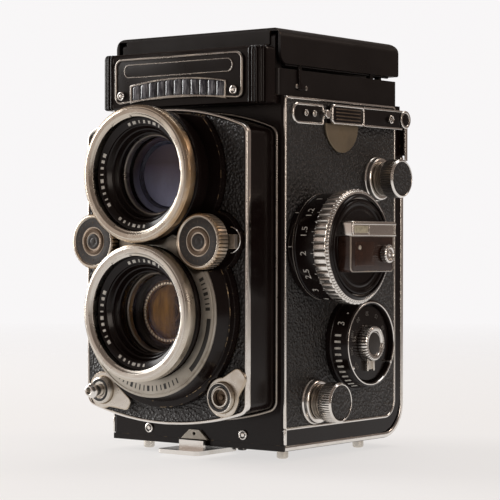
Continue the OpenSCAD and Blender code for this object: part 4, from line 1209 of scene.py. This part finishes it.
def make_meter():
    """The exposure meter on the focus hub, and its knob."""
    low, high = span("meter_box")
    y0, y1, z0, bar_z, z1, face = low.y, high.y, low.z, high.z - 5.0, high.z, 61.0
    box = plate("x", rect(y0, z0, y1, bar_z, 1.5, 1.5, 0.3, steps=5), 55.4, face - 0.15)
    piece("meter_case", box, "meter_front", node="meter_box")
    outline = rect(y0 + 0.25, z0 + 0.25, y1 - 0.25, bar_z, 1.3, 1.3, 0.2, steps=5)
    piece("meter_case_trim", swept("x", outline, domed_bead(0.25, face - 0.6, face)), "steel",
          node="meter_box")
    top = plate("x", rect(y0 - 0.2, bar_z, y1 + 0.2, z1, 0.4, 0.4, 1.0, steps=5), 55.4, high.x - 0.35, 0.5)
    piece("meter_bar", top, "chrome", node="meter_box")
    rails = [plate("x", rect(y0 - 0.1, z, y1 + 0.1, z + tall, 0.15, steps=3), high.x - 0.6, high.x, 0.2)
             for z, tall in ((bar_z + 0.1, 0.6), (z1 - 1.2, 0.7))]
    rails += [plate("x", rect(y, bar_z + 0.3, y + 0.5, z1 - 0.9, 0.1, steps=2), high.x - 0.6, high.x - 0.05,
                    0.15) for y in (y0 + 0.2, y0 + 9.5, y1 - 0.7)]
    piece("meter_bar_rails", joined(*rails), "chrome", "body")
    pane = plate("x", rect(y0 + 0.9, bar_z + 1.0, y0 + 9.2, z1 - 1.5, 0.2, steps=3), high.x - 0.6,
                 high.x - 0.25, 0.1)
    piece("meter_bar_pane", pane, "tinted_paint", "body")
    low, high = span("meter_glass")
    pane = plate("x", rect(low.y, low.z, high.y, high.z, 0.8, steps=5), face - 0.2, high.x + 0.1, 0.1)
    piece("meter_pane", pane, "card", node="meter_glass")
    pin = eased(shifted(face, [(-0.3, 0), (-0.3, 0.8), (0.3, 0.7), (0.45, 0)]), 0.15)
    piece("meter_pin", spun("x", (11.6, 72.6), pin, 28), "nickel", "body")
    low, high, at = round_part("meter_knob", "x")
    r = high.z - at[1]
    knob = eased([(low.x, 0), (low.x, 1.2), (face + 0.2, 1.2), (face + 0.2, r - 0.3), (face + 0.5, r),
                  (high.x - 0.5, r), (high.x - 0.1, r - 0.5), (high.x - 0.1, r - 1.0),
                  (high.x - 0.4, r - 1.3), (high.x - 0.4, 0.8), (high.x, 0.6), (high.x, 0)], 0.1)
    piece("meter_knob_turned", spun("x", at, knob, 160, knurl(20, r - 0.2, 0.5), 0.28), "chrome",
          node="meter_knob")


def make_reminder():
    """The film reminder: fixed base, turning disc, knob and pointer."""
    at = round_part("dial_base", "x")[2]
    base = eased([(SKIN_X, 3.1), (SKIN_X, 16.5), (40.3, 16.5), (40.6, 16.1), (46.3, 15.2), (46.7, 14.5),
                  (46.4, 13.8), (44.0, 13.7), (44.0, 3.1)], 0.15)
    piece("dial_base_turned", spun("x", at, base, 144), "enamel", node="dial_base")
    rim = spun("x", at, eased([(46.2, 14.8), (46.7, 14.6), (46.8, 14.3), (46.5, 14.1), (46.2, 14.1)], 0.08),
               128)
    pegs = [spun("x", (at[0] + 13.9 * math.cos(t), at[1] + 13.9 * math.sin(t)),
                 eased([(44.5, 0), (44.5, 0.6), (46.9, 0.5), (46.9, 0)], 0.15), 16)
            for t in (math.radians(216), math.radians(330))]
    piece("dial_rim", joined(rim, *pegs), "chrome", "body")
    cone = (16.1 - 15.2) / (46.3 - 40.6)

    def follow(x, y, z):
        r = math.hypot(y - at[0], z - at[1])
        grow = (r - cone * (x - 43.0)) / r
        return x, at[0] + (y - at[0]) * grow, at[1] + (z - at[1]) * grow

    marks = [on_drum(numeral("3", 3.6), "x", at, 15.75, math.radians(152), 43.4, lying=True),
             on_drum(bar(0.6, 0.6), "x", at, 15.75, math.radians(136), 44.2)]
    marks += [on_drum(bar(2.3, 0.75), "x", at, 15.72, math.radians(168 + 8.2 * k), 43.0) for k in range(11)]
    piece("dial_base_marks", joined(*(moved(mark, follow) for mark in marks)), "paint", "body", sharp=60)
    disc = eased([(41.0, 0), (41.0, 2.9), (44.3, 2.9), (44.3, 13.3), (44.9, 13.3), (45.1, 12.9), (45.1, 0)],
                 0.1)
    piece("reminder_disc", spun("x", at, disc, 120), "enamel", node="reminder_dial")
    high = span("reminder_dial")[1]
    knob = eased([(45.0, 0), (45.0, 6.4), (45.4, 6.6), (46.0, 6.6), (high.x - 0.4, 6.0), (high.x, 5.5),
                  (high.x - 0.1, 4.4), (high.x - 0.8, 4.1), (high.x - 0.9, 0)], 0.1)
    piece("reminder_knob", spun("x", at, knob, 288, knurl(36, 4.5, 0.5), 0.45), "chrome",
          node="reminder_dial")
    oval = [Vector((at[0] + 3.6 * math.cos(TURN * s / 40), at[1] + 3.9 * math.sin(TURN * s / 40)))
            for s in range(40)]
    piece("reminder_cap", plate("x", oval, high.x - 1.0, high.x - 0.35, 0.3), "rubber", "reminder_dial")
    pads = []
    for side in (-1, 1):
        leg = [(at[0] + side * out, at[1] - below, radius)
               for out, below, radius in ((1.2, 5.6, 0.2), (2.4, 5.6, 0.2), (2.4, 9.7, 0.4), (1.5, 9.7, 0.4))]
        pads.append(plate("x", rounded(leg[::-side], 4), 45.05, 46.5, 0.2))
    web = rect(at[0] - 1.6, at[1] - 9.2, at[0] + 1.6, at[1] - 5.6, 0.3, 0.3, 0.2, steps=3)
    piece("reminder_pointer", joined(plate("x", web, 45.05, 46.0, 0.2), *pads), "nickel",
          node="reminder_dial")
    face = []
    for k, text in enumerate(("10", "12", "25", "50", "100", "200", "400")):
        face.append(on_face(numeral(text, 2.0), "x", at, 10.4, math.radians(28 + 33 * k), 45.15, out=1.0))
    piece("reminder_numbers", joined(*face), "grey_paint", "reminder_dial", sharp=60)


def make_spool_knobs():
    """The two pull-out spool knobs with their collars."""
    for name in ("upper", "lower"):
        low, high, at = round_part(name + "_spool_knob", "x")
        r, end = high.z - at[1], high.x
        outer = 8.0 if name == "upper" else 7.9
        collar = eased([(SKIN_X, 2.4), (SKIN_X, outer), (SKIN_X + 0.9, outer), (SKIN_X + 1.2, outer - 0.35),
                        (40.9, outer - 0.5), (41.2, outer - 0.9), (41.2, 5.6), (40.9, 5.2), (40.9, 2.4)],
                       0.15)
        piece(name + "_collar", spun("x", at, collar, 96), "chrome", node="side_collars")
        neck = eased([(low.x, 0), (low.x, 2.3), (41.5, 2.3), (41.5, r - 0.8), (42.1, r - 0.8),
                      (42.2, r - 1.2), (42.6, r - 1.2), (42.7, r - 0.7), (43.3, r - 0.7), (43.4, r - 1.3),
                      (44.6, r - 1.3), (44.6, 0)], 0.08)
        piece(name + "_knob_neck", spun("x", at, neck, 96), "steel", name + "_spool_knob")
        grip = eased([(44.5, 0), (44.5, r - 0.4), (44.8, r), (49.3, r), (49.6, r - 0.3), (end, r - 0.6),
                      (end - 0.1, r - 0.9), (49.3, r - 1.0), (49.3, 0)], 0.1)
        turned = spun("x", at, grip, 384, knurl(48, r - 0.06, 0.34), 0.26)
        piece(name + "_knob_grip", turned, "chrome", node=name + "_spool_knob")
        cap = [(49.3, r - 1.05)] + [(49.95 - 0.0035 * q * q, q)
                                    for q in ((r - 1.2) * (1 - s / 8) for s in range(9))]
        piece(name + "_knob_cap", spun("x", at, [(49.3, 0.0)] + cap, 64), "leather", name + "_spool_knob")


# ---- left side ----
def make_crank():
    """The folded film crank."""
    refined("crank_plate", "chrome", 0.3, 3)
    refined("crank_hub", "worn", 0.12)
    refined("crank_arm", "chrome", 0.3, 3)
    low, high = span("crank_arm")
    at = ((low.y + high.y) / 2, low.z + 3.6)
    cap = eased([(-39.8, 0), (-39.8, 3.4), (-40.2, 3.8), (-43.4, 3.8), (-43.8, 3.4), (-43.8, 0)], 0.25)
    piece("crank_knob_sleeve", spun("x", at, [(x, q + (0.06 if q > 3.5 else 0.0)) for x, q in cap], 192,
                                    knurl(24, 3.7, 0.5), 0.3), "plastic", "crank_arm")


# ---- back and bottom ----
def make_door():
    """The L-shaped back, its trim and latch, the feet and the tripod socket."""
    low, high = span("back_door")
    back = high.y
    skin = 0.3
    refined("back_door", "enamel", 0.3, limit=lambda x, y, z: (x, y - skin if y > back - 0.01 else y, z))
    panel = rect(-36.2, 20, 36.2, 113.4, 2.5, 2.5, 1.5)
    piece("door_leather", plate("y", panel, back - skin - 0.2, back - 0.02, 0.12), "leather", "back_door")
    piece("door_leather_bead", swept("y", grown(panel, 0.35), domed_bead(0.35, back - skin - 0.2, back)),
          "chrome", "back_door")
    bend, half = 12.0, 0.85
    mid_z, mid_y, turn = low.z + 3.4, back - skin - 1.0, bend - 1.0
    run = [Vector((y, mid_z)) for y in (0.6, 20.0, 40.0, mid_y - turn)]
    corner = [Vector((mid_y - turn + turn * math.sin(t), mid_z + turn - turn * math.cos(t)))
              for t in (math.pi / 2 * s / 14 for s in range(1, 15))]
    up = [Vector((mid_y, z)) for z in (60.0, 105.4)]
    wall = CASE[1].x
    trim = swept("x", run + corner + up, domed_bead(half, wall - 0.15, wall + 0.3), open_ends=True)
    piece("door_edge_trim", both(trim), "chrome", "back_door")
    ear = rect(mid_y - half, 104.0, mid_y + half, 116.2, 0.2, steps=3)
    piece("door_ear_trim", both(plate("x", ear, SKIN_X + 1.3, SKIN_X + 1.7, 0.15)), "chrome", "back_door")
    kept("pressure_plate", "steel")
    refined("door_latch", "chrome", 0.4, 3)
    for i, (x, y) in enumerate(((30, 10.3), (30, 56.4), (-30, 10.3), (-30, 56.4))):
        foot = eased([(3.7, 0), (3.7, 2.0), (0.5, 2.0), (0.0, 1.5), (0.0, 0)], 0.3)
        piece("foot_" + str(i), spun("z", (x, y), foot, 40), "nickel", node="feet")
    at = middle("tripod_socket")
    low, high = span("tripod_socket")
    thread = [(low.z + 0.2 + 0.32 * k, 2.55 + (0.22 if k % 2 else 0.0)) for k in range(18)]
    rest = [(low.z + 6.0, 0.0), (high.z, 0.0), (high.z, 5.0), (low.z + 1.0, 5.0), (low.z + 1.0, 7.0),
            (low.z + 0.15, 7.0), (low.z, 6.8), (low.z, 3.0)]
    piece("tripod_bush", spun("z", (at.x, at.y), thread + [(low.z + 5.96, 2.55)] + rest[:1], 72), "worn",
          node="tripod_socket")
    piece("tripod_flange", spun("z", (at.x, at.y), rest + [(low.z + 0.2, 2.6)], 72), "worn",
          node="tripod_socket")


def make_film_path():
    """The two film spools."""
    for node in ("takeup_spool", "supply_spool"):
        refined(node, "plastic", 0.12)


# ---- stage ----
def make_floor():
    """A pale disc that fades out into the white background."""
    made, tree, shader = shader_tree("pale_floor", (0.22, 0.215, 0.212), 0.75)
    shader.inputs["Emission Color"].default_value = (1.0, 0.975, 0.96, 1.0)
    shader.inputs["Emission Strength"].default_value = 0.66
    length = add(tree, "ShaderNodeVectorMath", {0: place_of(tree)}, operation="LENGTH").outputs["Value"]
    fade = spread(tree, length, 0.16, 1.1, 1.0, 0.0)
    out = tree.nodes["Material Output"]
    clear = add(tree, "ShaderNodeBsdfTransparent")
    mix = add(tree, "ShaderNodeMixShader")
    tree.links.new(fade, mix.inputs[0])
    tree.links.new(clear.outputs[0], mix.inputs[1])
    tree.links.new(shader.outputs[0], mix.inputs[2])
    tree.links.new(mix.outputs[0], out.inputs["Surface"])
    mesh = bpy.data.meshes.new("floor")
    disc = bmesh.new()
    bmesh.ops.create_circle(disc, cap_ends=True, segments=96, radius=1.2)
    disc.to_mesh(mesh)
    disc.free()
    mesh.materials.append(made)
    floor = bpy.data.objects.new("floor", mesh)
    floor.location = (0.0, 0.0, CAD_LOW.z)
    bpy.context.scene.collection.objects.link(floor)


def make_world():
    """White to the eye, dim and warm to everything that reflects it."""
    world = bpy.data.worlds.new("studio")
    bpy.context.scene.world = world
    world.use_nodes = True
    tree = world.node_tree
    seen = tree.nodes["Background"]
    seen.inputs["Color"].default_value = (0.94, 0.925, 0.93, 1.0)
    seen.inputs["Strength"].default_value = 1.0
    dim = add(tree, "ShaderNodeBackground", {"Color": (1.0, 0.80, 0.70, 1.0), "Strength": 0.17})
    path = add(tree, "ShaderNodeLightPath")
    mix = add(tree, "ShaderNodeMixShader")
    tree.links.new(path.outputs["Is Camera Ray"], mix.inputs[0])
    tree.links.new(dim.outputs[0], mix.inputs[1])
    tree.links.new(seen.outputs[0], mix.inputs[2])
    tree.links.new(mix.outputs[0], tree.nodes["World Output"].inputs["Surface"])


def soft_box(name, place, aim, size, power, colour):
    """A soft lamp at place that shines on aim and is not itself in the picture."""
    lamp = bpy.data.lights.new(name, "AREA")
    lamp.shape = "ELLIPSE"
    lamp.size, lamp.size_y = size
    lamp.energy, lamp.color = power, colour
    obj = bpy.data.objects.new(name, lamp)
    obj.location = place
    obj.rotation_euler = (Vector(aim) - Vector(place)).to_track_quat("-Z", "Y").to_euler()
    obj.visible_camera = False
    bpy.context.scene.collection.objects.link(obj)


def make_lights():
    """A big window to the left, a broad soft reflector in front of it, and weak fill from above and right."""
    aim = (0.0, 0.0, 0.06)
    soft_box("window_left", (-1.1, -0.25, 0.4), aim, (0.75, 0.9), 15.0, (1.0, 0.99, 0.98))
    soft_box("reflector_front", (-0.8, -1.05, 0.25), aim, (1.5, 1.3), 1.6, (1.0, 0.86, 0.78))
    soft_box("card_right", (1.15, -0.35, 0.35), aim, (0.25, 0.6), 2.2, (1.0, 0.88, 0.78))
    soft_box("lamp_behind", (0.8, 0.8, 0.85), aim, (0.35, 0.35), 1.6, (1.0, 0.82, 0.70))
    soft_box("overhead", (0.0, 0.35, 0.95), aim, (0.8, 0.5), 3.0, (1.0, 0.99, 0.98))


# The view was fitted to the photo with a ruler on the body's edges, the rims and the feet.
YAW, PITCH, ROLL = math.radians(37.39), math.radians(-0.28), math.radians(0.07)
CAMERA_PLACE = (0.42365, -0.56076, 0.07074)
FOCAL, SHIFT = 139.09, (0.0025, 0.00306)


def make_camera():
    """The camera of the photo: a long lens, a little right of the front, almost level."""
    lens = bpy.data.cameras.new("view")
    lens.lens, lens.sensor_width = FOCAL, 36.0
    lens.shift_x, lens.shift_y = SHIFT
    lens.clip_start, lens.clip_end = 0.01, 20.0
    camera = bpy.data.objects.new("view", lens)
    forward = Vector((-math.sin(YAW) * math.cos(PITCH), math.cos(YAW) * math.cos(PITCH), math.sin(PITCH)))
    level = Vector((math.cos(YAW), math.sin(YAW), 0.0))
    upright = level.cross(forward)
    right = level * math.cos(ROLL) + upright * math.sin(ROLL)
    up = upright * math.cos(ROLL) - level * math.sin(ROLL)
    camera.rotation_euler = Matrix((right, up, -forward)).transposed().to_euler()
    camera.location = CAMERA_PLACE
    bpy.context.scene.collection.objects.link(camera)
    bpy.context.scene.camera = camera


make_camera()
make_world()
make_lights()
make_floor()
make_body()
make_side_fittings()
make_screws()
make_name_housing()
make_name_plate()
make_meter_window()
make_name_blank()
make_hood()
make_lens_board()
make_rims()
make_name_ring_marks()
make_glass()
make_shutter_ring()
make_wheels()
make_front_controls()
make_focus_knob()
make_meter()
make_reminder()
make_spool_knobs()
make_crank()
make_door()
make_film_path()

bpy.context.scene.view_settings.view_transform = "Standard"
